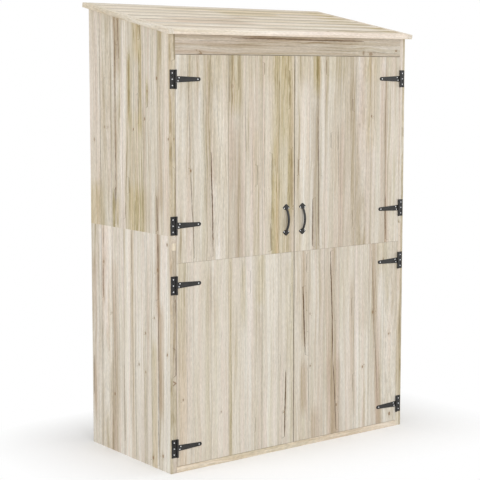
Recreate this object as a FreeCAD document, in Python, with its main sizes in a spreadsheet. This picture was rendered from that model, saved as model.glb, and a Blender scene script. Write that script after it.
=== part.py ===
import FreeCAD, Part
import os
import Sketcher
from math import pi
from FreeCAD import Placement, Rotation, Vector

# Garden storage cabinet: tongued and grooved softwood boards on a batten frame,
# two pairs of inset doors on T hinges, and a boarded roof that falls to the front.
# Millimetres. X runs to the right, Y to the back and Z up. The origin is the centre
# of the cabinet's footprint, at the ground.

SIZES = {
    # Carcass over the boards
    "width": 1136,
    "depth": 540,
    "roof_slope": 11.2,
    # Tongued and grooved boards
    "board_thickness": 10,
    "board_cover": 78.5,
    "board_joint": 0.4,
    "edge_rip": 4.5,
    "tongue_length": 3.6,
    "tongue_thickness": 3.4,
    "tongue_play": 0.2,
    "face_bevel": 0.7,
    # Framing battens
    "batten_thickness": 16,
    "batten_width": 26,
    "bottom_rail_height": 22,
    "frieze_height": 72.5,
    "rail_drop": 20,
    "middle_rail_height": 42,
    "tier_top_over_rail": 79,
    "stop_clearance": 0.3,
    # Doors
    "door_height": 737,
    "door_gap": 2,
    "hinge_gap": 1,
    "centre_gap": 2,
    "ledge_width": 60,
    "ledge_inset": 6,
    "brace_width": 50,
    # Roof
    "roof_thickness": 18,
    "trim_width": 24,
    "side_overhang": 17.5,
    "front_overhang": 24.5,
    "back_overhang": 19,
    "rafter_width": 32,
    # Floor and slatted shelves
    "floor_board_count": 6,
    "floor_joint": 1,
    "floor_bearer_from_centre": 190,
    "shelf_thickness": 16,
    "slat_count": 5,
    "slat_width": 86,
    "slat_clearance": 0.5,
    "lower_shelf_height": 395,
    "upper_shelf_height": 1140,
    # T hinges
    "plate_height": 67,
    "plate_width": 24,
    "metal_thickness": 1.8,
    "barrel_radius": 3.8,
    "barrel_lift": 0.3,
    "pin_radius": 1.6,
    "pin_play": 0.05,
    "knuckle_height": 22.5,
    "knuckle_play": 0.3,
    "strap_reach": 108,
    "strap_tip_radius": 7,
    "upper_door_top_hinge": 86,
    "upper_door_bottom_hinge": 134.5,
    "lower_door_top_hinge": 77,
    "lower_door_bottom_hinge": 67,
    # Bowed pull handles, whose feet are measured to their corners before these are rounded
    "handle_height": 886,
    "handle_from_centre": 39.5,
    "handle_length": 124,
    "handle_projection": 19,
    "handle_bar_width": 10.5,
    "handle_bar_thickness": 5,
    "handle_bar_bevel": 1.8,
    "foot_width": 36,
    "foot_height": 24,
    "foot_thickness": 2.6,
    "foot_shoulder": 16,
    "foot_shoulder_radius": 3,
    "foot_tip_radius": 7,
    # Magnetic catches
    "catch_length": 42,
    "catch_height": 14,
    "catch_depth": 14,
    "catch_from_centre": 60,
    "strike_thickness": 1.2,
    "strike_margin": 2,
}

# Places worked out from the sizes, from the front plane of posts and doors and from the ground
PLACES = {
    "half_width": "=size.width / 2",
    "front": "=(size.front_overhang - size.depth - size.back_overhang) / 2",
    "back": "=front + size.depth",
    "post_face": "=half_width - size.board_thickness - size.batten_thickness",
    "rear_post": "=back - size.board_thickness - size.batten_width",
    "bay_front": "=front + size.batten_width",
    "bay_depth": "=rear_post - bay_front",
    "rail_back": "=back - size.board_thickness - size.batten_thickness",
    "lower_door_bottom": "=size.bottom_rail_height + size.door_gap",
    "lower_door_top": "=lower_door_bottom + size.door_height",
    "upper_door_bottom": "=lower_door_top + size.door_gap",
    "upper_door_top": "=upper_door_bottom + size.door_height",
    "frieze_bottom": "=upper_door_top + size.door_gap",
    "eaves": "=frieze_bottom + size.frieze_height",
    "rise": "=tan(size.roof_slope * 1deg)",
    "ridge": "=eaves + size.depth * rise",
    "middle_rail_bottom": "=(lower_door_top + upper_door_bottom - size.middle_rail_height) / 2",
    "middle_rail_top": "=middle_rail_bottom + size.middle_rail_height",
    "lower_tier_height": "=middle_rail_top + size.tier_top_over_rail",
    "top_rail_bottom": "=upper_door_top - size.rail_drop",
    "stop_face": "=front + size.board_thickness + size.stop_clearance",
    "door_hinge_edge": "=post_face - size.hinge_gap",
    "door_width": "=door_hinge_edge - size.centre_gap / 2",
    "hinge_axis_x": "=post_face - size.hinge_gap / 2",
    "hinge_axis_out": "=size.barrel_radius + size.barrel_lift",
    "upper_door_high": "=upper_door_top - size.upper_door_top_hinge",
    "upper_door_low": "=upper_door_bottom + size.upper_door_bottom_hinge",
    "lower_door_high": "=lower_door_top - size.lower_door_top_hinge",
    "lower_door_low": "=lower_door_bottom + size.lower_door_bottom_hinge",
    "roof_start": "=(size.roof_thickness * sin(size.roof_slope * 1deg) - size.front_overhang)"
                  " / cos(size.roof_slope * 1deg)",
    "roof_end": "=(size.depth + size.back_overhang) / cos(size.roof_slope * 1deg)",
    "roof_run": "=roof_end - roof_start",
    "roof_half_length": "=half_width + size.side_overhang",
    "slat_pitch": "=(bay_depth - 2 * size.slat_clearance - size.slat_width) / (size.slat_count - 1)",
    "floor_board_width": "=(bay_depth + size.floor_joint) / size.floor_board_count - size.floor_joint",
    "middle_shelf_bottom": "=middle_rail_top - size.shelf_thickness",
    "bow_reach": "=(size.handle_length - size.foot_height) / 2",
    "bow_radius": "=(bow_reach^2 + size.handle_projection^2) / (2 * size.handle_projection)",
    "bow_angle": "=2 * acos((bow_radius - size.handle_projection) / bow_radius)",
}

# Two points nearer than this are the same corner
NEAR = 0.001

doc = FreeCAD.newDocument("garden_storage_cabinet")
parts = []


def fill_sheet(name, cells):
    """Write the named cells into a sheet, one alias to a row."""
    sheet = doc.addObject("Spreadsheet::Sheet", name)
    for row, (alias, content) in enumerate(cells.items(), start=1):
        sheet.set("A%d" % row, alias)
        sheet.set("B%d" % row, str(content))
        sheet.setAlias("B%d" % row, alias)
    doc.recompute()
    return sheet


size = fill_sheet("size", SIZES)
place = fill_sheet("place", PLACES)


def value(expression):
    """Work out an expression of the sheets as a plain number."""
    result = size.evalExpression(expression)
    return float(getattr(result, "Value", result))


def bind(item, **expressions):
    """Bind properties of an object to expressions of the sheets."""
    for name, expression in expressions.items():
        item.setExpression(name, expression)


def put(item, x="0", y="0", z="0", turn=None):
    """Place an object: an optional fixed turn, and a position bound to the sheets."""
    if turn is not None:
        item.Placement = Placement(Vector(0, 0, 0), turn)
    item.setExpression("Placement.Base.x", x)
    item.setExpression("Placement.Base.y", y)
    item.setExpression("Placement.Base.z", z)
    return item


def keep(item):
    """Count an object among the sub-parts that are written out."""
    parts.append(item)
    return item


def box(label, corner, extent):
    """A squared batten, plank or block from its low corner and its three sizes."""
    item = doc.addObject("Part::Box", label)
    bind(item, Length=extent[0], Width=extent[1], Height=extent[2])
    return put(item, *corner)


def rod(label, radius, height, foot_at):
    """A round bar that stands on its low centre."""
    item = doc.addObject("Part::Cylinder", label)
    bind(item, Radius=radius, Height=height)
    return put(item, *foot_at)


def group(label, members):
    """Several separate solids under one name."""
    item = doc.addObject("Part::Compound", label)
    item.Links = members
    return item


def cut(label, base, tool):
    """The base with the tool's space taken away."""
    item = doc.addObject("Part::Cut", label)
    item.Base = base
    item.Tool = tool
    return item


def fuse(label, members):
    """One solid from several overlapping ones."""
    item = doc.addObject("Part::MultiFuse", label)
    item.Shapes = members
    item.Refine = True
    return item


def mirrored(label, source):
    """The same piece on the other side of the cabinet's middle plane."""
    item = doc.addObject("Part::Mirroring", label)
    item.Source = source
    item.Base = Vector(0, 0, 0)
    item.Normal = Vector(1, 0, 0)
    return item


def keep_pair(item):
    """Keep a piece of the left side and its twin of the right one."""
    keep(item)
    keep(mirrored(item.Label.replace("left", "right"), item))


def origin_plane(body, role):
    """One of a body's own origin planes or axes."""
    for feature in body.Origin.OriginFeatures:
        if feature.Role == role:
            return feature
    raise RuntimeError("no origin feature " + role)


def sketch_on(body, role):
    """An empty sketch on one of the body's origin planes."""
    sketch = body.newObject("Sketcher::SketchObject", body.Name + "_outline")
    sketch.AttachmentSupport = [(origin_plane(body, role), "")]
    sketch.MapMode = "FlatFace"
    return sketch


def join(sketch, *pairs, kind="Coincident"):
    """Join ends of a sketch's edges; an end is the edge's number with 1 for start or 2 for end."""
    for first, second in pairs:
        sketch.addConstraint(Sketcher.Constraint(kind, *first, *second))


def hold(sketch, edge, point, across, up):
    """Bind a point of a sketch's edge (1 start, 2 end, 3 centre) to the sheets."""
    for kind, expression in (("DistanceX", across), ("DistanceY", up)):
        index = sketch.addConstraint(
            Sketcher.Constraint(kind, -1, 1, edge, point, value(expression)))
        sketch.setExpression("Constraints[%d]" % index, expression)


def outline(body, role, points):
    """A closed polygon sketch whose corners are each bound to the sheets."""
    sketch = sketch_on(body, role)
    corners = [Vector(value(across), value(up), 0) for across, up in points]
    count = len(corners)
    for i in range(count):
        sketch.addGeometry(Part.LineSegment(corners[i], corners[(i + 1) % count]), False)
    join(sketch, *[((i, 2), ((i + 1) % count, 1)) for i in range(count)])
    for i, (across, up) in enumerate(points):
        hold(sketch, i, 1, across, up)
    return sketch


def rounded(body, pad, corners, radius):
    """Round the pad's upright edges at the given corners of its outline."""
    doc.recompute()
    edges = []
    for across, up in corners:
        for i, edge in enumerate(pad.Shape.Edges, start=1):
            ends = [vertex.Point for vertex in edge.Vertexes]
            at_corner = all(abs(end.x - value(across)) < NEAR and abs(end.z - value(up)) < NEAR
                            for end in ends)
            if at_corner and edge.Length > NEAR:
                edges.append("Edge%d" % i)
    fillet = body.newObject("PartDesign::Fillet", body.Name + "_rounding")
    fillet.Base = (pad, edges)
    fillet.setExpression("Radius", radius)
    body.Tip = fillet
    return fillet


def prism(label, role, points, length, reverse=False, both_ways=False):
    """A polygon padded square to one of the origin planes."""
    body = doc.addObject("PartDesign::Body", label)
    pad = body.newObject("PartDesign::Pad", label + "_pad")
    pad.Profile = outline(body, role, points)
    pad.setExpression("Length", length)
    pad.Reversed = reverse
    pad.Midplane = both_ways
    body.Tip = pad
    return body


def board_run(label, span, thickness, length):
    """Boards side by side along X, faces at Y = 0, tongues towards X = 0, standing up Z.

    Each board covers board_cover. Its tongue enters the groove of the board before it,
    and the small bevels on both face edges meet as a fine V joint.
    """
    near = "size.board_joint / 2"
    far = "size.board_cover - size.board_joint / 2"
    tip = near + " - size.tongue_length"
    floor_of_groove = far + " - size.tongue_length - size.tongue_play"
    middle = "(%s) / 2" % thickness
    tongue = "size.tongue_thickness / 2"
    slot = "(size.tongue_thickness / 2 + size.tongue_play)"
    points = [
        (near + " + size.face_bevel", "0"),
        (far + " - size.face_bevel", "0"),
        (far, "size.face_bevel"),
        (far, middle + " - " + slot),
        (floor_of_groove, middle + " - " + slot),
        (floor_of_groove, middle + " + " + slot),
        (far, middle + " + " + slot),
        (far, thickness),
        (near, thickness),
        (near, middle + " + " + tongue),
        (tip, middle + " + " + tongue),
        (tip, middle + " - " + tongue),
        (near, middle + " - " + tongue),
        (near, "size.face_bevel"),
    ]
    body = doc.addObject("PartDesign::Body", label)
    body.AllowCompound = True
    board = body.newObject("PartDesign::Pad", label + "_board")
    board.Profile = outline(body, "XY_Plane", points)
    board.setExpression("Length", length)
    doc.recompute()
    run = body.newObject("PartDesign::LinearPattern", label + "_pattern")
    run.Originals = [board]
    run.Direction = (origin_plane(body, "X_Axis"), [""])
    run.Mode = "Spacing"
    run.setExpression("Offset", "size.board_cover")
    run.setExpression("Occurrences", "ceil((%s + size.edge_rip) / size.board_cover)" % span)
    body.Tip = run
    put(body, x="-size.edge_rip")
    return body


def boarding(label, span, thickness, length):
    """A run of boards ripped and cross-cut to a panel of span by length."""
    panel = doc.addObject("Part::Common", label)
    panel.Base = board_run(label + "_run", span, thickness, length)
    panel.Tool = box(label + "_blank", ("0", "0", "0"), (span, thickness, length))
    return panel


# Turns that stand a panel up, or lay it down, from the frame of board_run
FACE_LEFT = Rotation(Vector(0, 0, 1), -90)
FACE_BACK = Rotation(Vector(0, 0, 1), 180)
FACE_UP = Rotation(Vector(0, 1, 0), Vector(0, 0, -1), Vector(-1, 0, 0), "XYZ")

# The space above the roof's underside, which trims whatever stands under the roof
above_roof = prism(
    "above_roof", "YZ_Plane",
    [("place.front - size.depth", "place.eaves - size.depth * place.rise"),
     ("place.back + size.depth", "place.ridge + size.depth * place.rise"),
     ("place.front - size.depth", "place.ridge + size.depth * place.rise")],
    "2 * size.width", both_ways=True)


def trimmed(label, item):
    """A piece cut off along the underside of the roof."""
    return cut(label, item, above_roof)


# Side walls: boards outside, posts at the corners and rails between them
boards = boarding("left_lower_side_boards", "size.depth", "size.board_thickness",
                  "place.lower_tier_height")
keep(put(boards, "-place.half_width", "place.back", "0", FACE_LEFT))
boards = boarding("left_upper_side_square", "size.depth", "size.board_thickness",
                  "place.ridge - place.lower_tier_height")
put(boards, "-place.half_width", "place.back", "place.lower_tier_height", FACE_LEFT)
keep(trimmed("left_upper_side_boards", boards))

POST_X = "size.board_thickness - place.half_width"
UPPER_POST = "place.ridge - place.lower_tier_height"
LOWER_POST = "place.lower_tier_height - size.batten_width"


def post(label, y, z, height):
    """A corner post from its foot, at the left of the cabinet."""
    return box(label, (POST_X, y, z), ("size.batten_thickness", "size.batten_width", height))


def side_rail(label, z, height="size.batten_width"):
    """A level rail between the two posts of the left side."""
    return box(label, (POST_X, "place.bay_front", z),
               ("size.batten_thickness", "place.bay_depth", height))


keep(post("left_lower_rear_post", "place.rear_post", "0", LOWER_POST))
keep(trimmed("left_upper_rear_post",
             post("left_upper_rear_square", "place.rear_post", "place.lower_tier_height", UPPER_POST)))

# The rail on top of the lower posts runs through to the front, where its end grain shows
through_rail = box("left_tier_rail", (POST_X, "place.front", LOWER_POST),
                   ("size.batten_thickness", "size.depth - size.board_thickness", "size.batten_width"))
keep(group("left_lower_side_rails", [
    side_rail("left_sill", "0", "size.bottom_rail_height"),
    side_rail("left_lower_cleat", "size.lower_shelf_height - size.batten_width"),
    side_rail("left_middle_cleat", "place.middle_shelf_bottom - size.batten_width"),
    through_rail]))

under_roof_front = "place.eaves + (place.bay_front - place.front) * place.rise"
under_roof_back = "place.eaves + (place.rear_post - place.front) * place.rise"
sloping_rail = prism(
    "left_sloping_rail", "YZ_Plane",
    [("place.bay_front", under_roof_front + " - size.batten_width"),
     ("place.rear_post", under_roof_back + " - size.batten_width"),
     ("place.rear_post", under_roof_back),
     ("place.bay_front", under_roof_front)],
    "size.batten_thickness")
put(sloping_rail, x=POST_X)
keep(group("left_upper_side_rails", [
    side_rail("left_tier_sill", "place.lower_tier_height"),
    side_rail("left_upper_cleat", "size.upper_shelf_height - size.batten_width"),
    sloping_rail]))

# Back wall, let in between the side boards
BACK_SPAN = "2 * (place.half_width - size.board_thickness)"
boards = boarding("back_lower_boards", BACK_SPAN, "size.board_thickness", "place.lower_tier_height")
keep(put(boards, "place.half_width - size.board_thickness", "place.back", "0", FACE_BACK))
boards = boarding("back_upper_square", BACK_SPAN, "size.board_thickness",
                  "place.ridge - place.lower_tier_height")
put(boards, "place.half_width - size.board_thickness", "place.back", "place.lower_tier_height",
    FACE_BACK)
keep(trimmed("back_upper_boards", boards))


def cross_rail(label, y, z, depth, height):
    """A rail from the left posts to the right ones."""
    return box(label, ("-place.post_face", y, z), ("2 * place.post_face", depth, height))


def back_rail(label, z, height="size.batten_width"):
    """A rail against the inside of the back boards."""
    return cross_rail(label, "place.rail_back", z, "size.batten_thickness", height)


high_back_rail = back_rail(
    "back_high_square",
    "place.eaves + (place.rail_back - place.front) * place.rise - size.batten_width",
    "2 * size.batten_width")
keep(group("back_rails", [
    back_rail("back_sill", "0", "size.bottom_rail_height"),
    back_rail("back_tier_rail", LOWER_POST),
    back_rail("back_tier_sill", "place.lower_tier_height"),
    trimmed("back_high_rail", high_back_rail)]))

# Front frame: sill, middle rail and top rail that stop the doors, and the frieze above them
keep(cross_rail("bottom_front_rail", "place.front", "0", "size.batten_width",
                "size.bottom_rail_height"))
keep(cross_rail("middle_front_rail", "place.stop_face", "place.middle_rail_bottom",
                "size.batten_thickness", "size.middle_rail_height"))
keep(trimmed("top_front_rail",
             cross_rail("top_rail_square", "place.stop_face", "place.top_rail_bottom",
                        "size.batten_thickness",
                        "place.eaves + size.batten_width - place.top_rail_bottom")))
keep(trimmed("frieze_board",
             cross_rail("frieze_square", "place.front", "place.frieze_bottom",
                        "size.board_thickness", "size.frieze_height + size.batten_width")))

# Floor on two bearers and the side sills
floor_boards = []
for i in range(int(SIZES["floor_board_count"])):
    floor_boards.append(box(
        "floor_board_%d" % (i + 1),
        (POST_X, "place.bay_front + %d * (place.floor_board_width + size.floor_joint)" % i,
         "size.bottom_rail_height"),
        (BACK_SPAN, "place.floor_board_width", "size.shelf_thickness")))
keep(group("floor_boards", floor_boards))


def bearer(label, x, z, height):
    """A batten under a floor or a shelf, from front to back."""
    return box(label, (x + " - size.batten_thickness / 2", "place.bay_front + size.slat_clearance", z),
               ("size.batten_thickness", "place.bay_depth - 2 * size.slat_clearance", height))


keep(bearer("left_floor_bearer", "-size.floor_bearer_from_centre", "0", "size.bottom_rail_height"))

# Slatted shelves on the side cleats, each tied by a batten under its middle
shelf_ties = []
for name, level in (("lower", "size.lower_shelf_height"),
                    ("middle", "place.middle_shelf_bottom"),
                    ("upper", "size.upper_shelf_height")):
    slats = []
    for i in range(int(SIZES["slat_count"])):
        slats.append(box(
            "%s_slat_%d" % (name, i + 1),
            (POST_X + " + size.slat_clearance",
             "place.bay_front + size.slat_clearance + %d * place.slat_pitch" % i, level),
            (BACK_SPAN + " - 2 * size.slat_clearance", "size.slat_width", "size.shelf_thickness")))
    keep(group(name + "_shelf_slats", slats))
    shelf_ties.append(bearer(name + "_tie", "0", level + " - size.batten_width",
                             "size.batten_width"))
keep(group("shelf_ties", shelf_ties))


def on_roof(label, member):
    """A piece of the level roof, tilted to its slope about the carcass's front top edge."""
    item = group(label, [member])
    put(item, "0", "place.front", "place.eaves", Rotation(Vector(1, 0, 0), SIZES["roof_slope"]))
    item.setExpression("Placement.Rotation.Angle", "size.roof_slope * 1deg")
    return keep(item)


# Roof: boards across the slope between two trims, built level and then tilted
roof_panel = boarding("roof_panel", "place.roof_run", "size.roof_thickness",
                      "2 * (place.roof_half_length - size.trim_width)")
put(roof_panel, "place.roof_half_length - size.trim_width", "place.roof_start",
    "size.roof_thickness", FACE_UP)
on_roof("roof_boards", roof_panel)
on_roof("left_roof_trim", box("level_roof_trim", ("-place.roof_half_length", "place.roof_start", "0"),
                              ("size.trim_width", "place.roof_run", "size.roof_thickness")))

rafter_front = "place.stop_face + size.batten_thickness"
rafter_front_top = "place.eaves + (%s - place.front) * place.rise" % rafter_front
rafter_back_top = "place.eaves + (place.rail_back - place.front) * place.rise"
keep(prism(
    "roof_rafter", "YZ_Plane",
    [(rafter_front, rafter_front_top + " - size.rafter_width"),
     ("place.rail_back", rafter_back_top + " - size.rafter_width"),
     ("place.rail_back", rafter_back_top),
     (rafter_front, rafter_front_top)],
    "size.batten_thickness", both_ways=True))

# T hinges. The barrel stands just proud of the faces, over the gap between post and door
AXIS_X = "-place.hinge_axis_x"
AXIS_Y = "place.front - place.hinge_axis_out"


def barrel(label, radius, low, height):
    """A round bar on a hinge's axis."""
    return rod(label, radius, height, (AXIS_X, AXIS_Y, low))


def hinge_plate(label, level):
    """The upright plate of a T hinge: a leaf, two knuckles and the pin that is fixed in them."""
    low = level + " - size.plate_height / 2"
    leaf = box(label + "_leaf",
               (AXIS_X + " - size.plate_width", "place.front - size.metal_thickness", low),
               ("size.plate_width - size.hinge_gap", "size.metal_thickness", "size.plate_height"))
    knuckles = barrel(label + "_knuckles", "size.barrel_radius", low, "size.plate_height")
    room = "size.barrel_radius + 2 * size.knuckle_play"
    notch = box(label + "_notch",
                (AXIS_X + " - (%s)" % room, AXIS_Y + " - (%s)" % room,
                 level + " - size.knuckle_height / 2 - size.knuckle_play"),
                ("2 * (%s)" % room, "place.hinge_axis_out + 2 * (%s)" % room,
                 "size.knuckle_height + 2 * size.knuckle_play"))
    blank = fuse(label + "_blank", [leaf, knuckles])
    pin = barrel(label + "_pin", "size.pin_radius", low, "size.plate_height")
    return fuse(label, [cut(label + "_notched", blank, notch), pin])


def strap_outline(body, level):
    """The strap seen from the front: straight edges that run tangent into a round tip."""
    sketch = sketch_on(body, "XZ_Plane")
    root_x = AXIS_X + " + size.hinge_gap"
    tip_x = AXIS_X + " + size.strap_reach - size.strap_tip_radius"
    low = level + " - size.knuckle_height / 2"
    high = level + " + size.knuckle_height / 2"
    radius = value("size.strap_tip_radius")
    root_low = Vector(value(root_x), value(low), 0)
    root_high = Vector(value(root_x), value(high), 0)
    centre = Vector(value(tip_x), value(level), 0)
    tip = Part.ArcOfCircle(Part.Circle(centre, Vector(0, 0, 1), radius), -pi / 2, pi / 2)
    sketch.addGeometry(Part.LineSegment(root_low, tip.StartPoint), False)
    sketch.addGeometry(tip, False)
    sketch.addGeometry(Part.LineSegment(tip.EndPoint, root_high), False)
    sketch.addGeometry(Part.LineSegment(root_high, root_low), False)
    join(sketch, ((0, 2), (1, 1)), ((1, 2), (2, 1)), kind="Tangent")
    join(sketch, ((2, 2), (3, 1)), ((3, 2), (0, 1)))
    index = sketch.addConstraint(Sketcher.Constraint("Radius", 1, radius))
    sketch.setExpression("Constraints[%d]" % index, "size.strap_tip_radius")
    hold(sketch, 0, 1, root_x, low)
    hold(sketch, 3, 1, root_x, high)
    hold(sketch, 1, 3, tip_x, level)
    return sketch


def hinge_strap(label, level):
    """The tapered strap of a T hinge, with the knuckle that turns on the pin."""
    body = doc.addObject("PartDesign::Body", label + "_blade")
    pad = body.newObject("PartDesign::Pad", label + "_blade_pad")
    pad.Profile = strap_outline(body, level)
    pad.setExpression("Length", "size.metal_thickness")
    body.Tip = pad
    put(body, y="place.front")
    low = level + " - size.knuckle_height / 2"
    knuckle = barrel(label + "_knuckle", "size.barrel_radius", low, "size.knuckle_height")
    bore = barrel(label + "_bore", "size.pin_radius + size.pin_play", low, "size.knuckle_height")
    return cut(label, fuse(label + "_solid", [body, knuckle]), bore)


# Pull handles: a bowed bar with a bevelled face between two pointed feet
HANDLE_X = "-size.handle_from_centre"


def foot(label, way):
    """A foot of the handle, pointed away from the bar; way is 1 for the upper, -1 for the lower."""
    end = "size.handle_height + %d * size.handle_length / 2" % way
    shoulder = end + " - %d * size.foot_shoulder" % way
    neck = end + " - %d * size.foot_height" % way
    half_foot = "size.foot_width / 2"
    half_bar = "size.handle_bar_width / 2"
    tip = (HANDLE_X, end)
    shoulders = [(HANDLE_X + " + " + half_foot, shoulder), (HANDLE_X + " - " + half_foot, shoulder)]
    points = [tip, shoulders[0], (HANDLE_X + " + " + half_bar, neck),
              (HANDLE_X + " - " + half_bar, neck), shoulders[1]]
    body = prism(label, "XZ_Plane", points, "size.foot_thickness")
    soft_tip = rounded(body, body.Tip, [tip], "size.foot_tip_radius")
    rounded(body, soft_tip, shoulders, "size.foot_shoulder_radius")
    return put(body, y="place.front")


def pull_handle(label):
    """A bowed bar, turned about an axis behind the door's face, fused with its two feet."""
    body = doc.addObject("PartDesign::Body", label + "_bow")
    bow = body.newObject("PartDesign::Revolution", label + "_bow_turn")
    edge = "size.handle_bar_width / 2"
    back = "size.handle_bar_thickness - place.bow_radius"
    shoulder = "size.handle_bar_bevel - place.bow_radius"
    face = "(size.handle_bar_width / 2 - size.handle_bar_bevel)"
    bow.Profile = outline(body, "XY_Plane", [
        ("-" + edge, back), ("-" + edge, shoulder), ("-" + face, "-place.bow_radius"),
        (face, "-place.bow_radius"), (edge, shoulder), (edge, back)])
    bow.ReferenceAxis = (origin_plane(body, "X_Axis"), [""])
    bow.Midplane = True
    bow.setExpression("Angle", "place.bow_angle")
    body.Tip = bow
    put(body, HANDLE_X, "place.front - size.handle_projection + place.bow_radius",
        "size.handle_height")
    front_of_door = box(label + "_reach",
                        (HANDLE_X + " - size.foot_width / 2",
                         "place.front - size.handle_projection - size.foot_thickness",
                         "size.handle_height - size.handle_length / 2"),
                        ("size.foot_width", "size.handle_projection + size.foot_thickness",
                         "size.handle_length"))
    bar = doc.addObject("Part::Common", label + "_bar")
    bar.Base = body
    bar.Tool = front_of_door
    return fuse(label, [bar, foot(label + "_upper_foot", 1), foot(label + "_lower_foot", -1)])


keep_pair(pull_handle("upper_left_door_handle"))

# Doors: boards on two ledges and a brace, hung on two T hinges
hinge_plates = []


def door(name, bottom, high, low, catch_top):
    """A left door and its twin of the right side."""
    boards = boarding(name + "_boards", "place.door_width", "size.board_thickness",
                      "size.door_height")
    keep_pair(put(boards, "-place.door_hinge_edge", "place.front", bottom))

    left_end = "size.ledge_inset - place.door_hinge_edge"
    right_end = "-size.centre_gap / 2 - size.ledge_inset"
    inside = "place.front + size.board_thickness"
    ledges = []
    straps = []
    for end, level in (("top", high), ("bottom", low)):
        ledges.append(box("%s_%s_ledge" % (name, end),
                          (left_end, inside, level + " - size.ledge_width / 2"),
                          ("place.door_width - 2 * size.ledge_inset", "size.batten_thickness",
                           "size.ledge_width")))
        straps.append(hinge_strap("%s_%s_strap" % (name, end), level))
        hinge_plates.append(hinge_plate("%s_%s_plate" % (name, end), level))
    keep_pair(group(name + "_ledges", ledges))
    keep_pair(group(name + "_hinge_straps", straps))

    brace_low = low + " + size.ledge_width / 2"
    brace_high = high + " - size.ledge_width / 2"
    brace = prism(name + "_brace", "XZ_Plane",
                  [(left_end, brace_low), (left_end + " + size.brace_width", brace_low),
                   (right_end, brace_high), (right_end + " - size.brace_width", brace_high)],
                  "size.batten_thickness", reverse=True)
    keep_pair(put(brace, y=inside))
    keep_pair(box(name + "_strike_plate",
                  ("-size.catch_from_centre - size.catch_length / 2 + size.strike_margin", inside,
                   catch_top + " - size.catch_height + size.strike_margin"),
                  ("size.catch_length - 2 * size.strike_margin", "size.strike_thickness",
                   "size.catch_height - 2 * size.strike_margin")))


door("upper_left_door", "place.upper_door_bottom", "place.upper_door_high",
     "place.upper_door_low", "place.top_rail_bottom")
door("lower_left_door", "place.lower_door_bottom", "place.lower_door_high",
     "place.lower_door_low", "place.middle_rail_bottom")

# Front posts, with the fixed plates of the hinges on their faces
keep(post("left_lower_front_post", "place.front", "0", LOWER_POST))
keep(trimmed("left_upper_front_post",
             post("left_upper_post_square", "place.front", "place.lower_tier_height", UPPER_POST)))
keep(group("left_hinge_plates", hinge_plates))

# Magnetic catches under the rails that stop the doors
catches = []
for name, rail in (("upper", "place.top_rail_bottom"), ("lower", "place.middle_rail_bottom")):
    catches.append(box(name + "_left_catch",
                       ("-size.catch_from_centre - size.catch_length / 2",
                        "place.stop_face + size.strike_thickness",
                        rail + " - size.catch_height"),
                       ("size.catch_length", "size.catch_depth", "size.catch_height")))
left_catches = group("left_catches", catches)
keep(group("door_catches", [left_catches, mirrored("right_catches", left_catches)]))

# Everything at the left of the carcass has its twin at the right
for item in list(parts):
    if item.Label.startswith("left_"):
        keep(mirrored(item.Label.replace("left", "right"), item))

doc.recompute()

faults = []
for item in doc.Objects:
    if "Invalid" in item.State or "Error" in item.State:
        faults.append(item.Label)
for item in parts:
    if item.Shape.isNull() or not item.Shape.isValid() or not item.Shape.Solids:
        faults.append(item.Label)
if faults:
    raise RuntimeError("not built: " + ", ".join(sorted(set(faults))))

os.makedirs("parts", exist_ok=True)
for item in parts:
    item.Shape.exportStep("parts/%s.step" % item.Label)
print("%d sub-parts, %d solids" % (len(parts), sum(len(item.Shape.Solids) for item in parts)))
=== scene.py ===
# %% [markdown]
# # A garden storage cabinet in softwood
# The cabinet is a frame of battens clad in tongued and grooved boards, with four doors on black
# T hinges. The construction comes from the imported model, and this lesson gives it its looks.
# Each board is worked out again as a profile carried along its length, so that it can hold its
# own grain, knots and streaks as attributes, which one wood material then turns into colour.

# %% Load the frame and note its box
from math import atan, cos, pi, radians, sin, tan
import bpy
import numpy as np
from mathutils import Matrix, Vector


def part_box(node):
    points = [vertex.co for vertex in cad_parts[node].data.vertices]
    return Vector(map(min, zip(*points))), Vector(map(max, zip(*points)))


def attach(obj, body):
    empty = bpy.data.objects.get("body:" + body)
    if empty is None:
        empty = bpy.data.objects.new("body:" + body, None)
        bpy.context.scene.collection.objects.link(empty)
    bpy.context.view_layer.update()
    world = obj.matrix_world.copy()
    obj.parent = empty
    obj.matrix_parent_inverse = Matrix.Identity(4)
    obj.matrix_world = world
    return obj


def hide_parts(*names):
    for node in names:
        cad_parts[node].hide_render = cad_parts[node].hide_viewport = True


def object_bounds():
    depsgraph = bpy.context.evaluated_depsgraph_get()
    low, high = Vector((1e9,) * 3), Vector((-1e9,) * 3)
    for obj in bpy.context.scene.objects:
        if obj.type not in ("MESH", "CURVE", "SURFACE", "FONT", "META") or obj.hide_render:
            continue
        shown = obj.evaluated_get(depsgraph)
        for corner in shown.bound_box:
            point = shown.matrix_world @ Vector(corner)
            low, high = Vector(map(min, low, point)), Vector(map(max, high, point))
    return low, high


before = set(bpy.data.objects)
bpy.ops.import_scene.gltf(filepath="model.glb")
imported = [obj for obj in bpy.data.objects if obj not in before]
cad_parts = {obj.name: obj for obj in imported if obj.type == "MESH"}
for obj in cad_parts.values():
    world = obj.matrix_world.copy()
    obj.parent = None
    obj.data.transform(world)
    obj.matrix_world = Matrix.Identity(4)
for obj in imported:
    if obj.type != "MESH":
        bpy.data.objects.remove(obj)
cad_low, cad_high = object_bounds()
print("CAD box", [round(v, 4) for v in (*cad_low, *cad_high)])

MM = 0.001
X, Y, Z = np.eye(3)
# Each door's body, and 1 where X runs from its hinges to its free edge, or else -1
DOORS = {"upper_left_door": 1, "upper_right_door": -1, "lower_left_door": 1, "lower_right_door": -1}

# %% [markdown]
# ## Camera
# The photograph was taken with a long lens from the front left, at about breast height. Its
# direction, distance and lens were found by fitting the cabinet's straight edges. Its verticals
# are parallel, which takes a shifted lens. Only a little of that shift is used and the camera
# tips down for the rest, so that views from other sides stay framed too.

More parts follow.
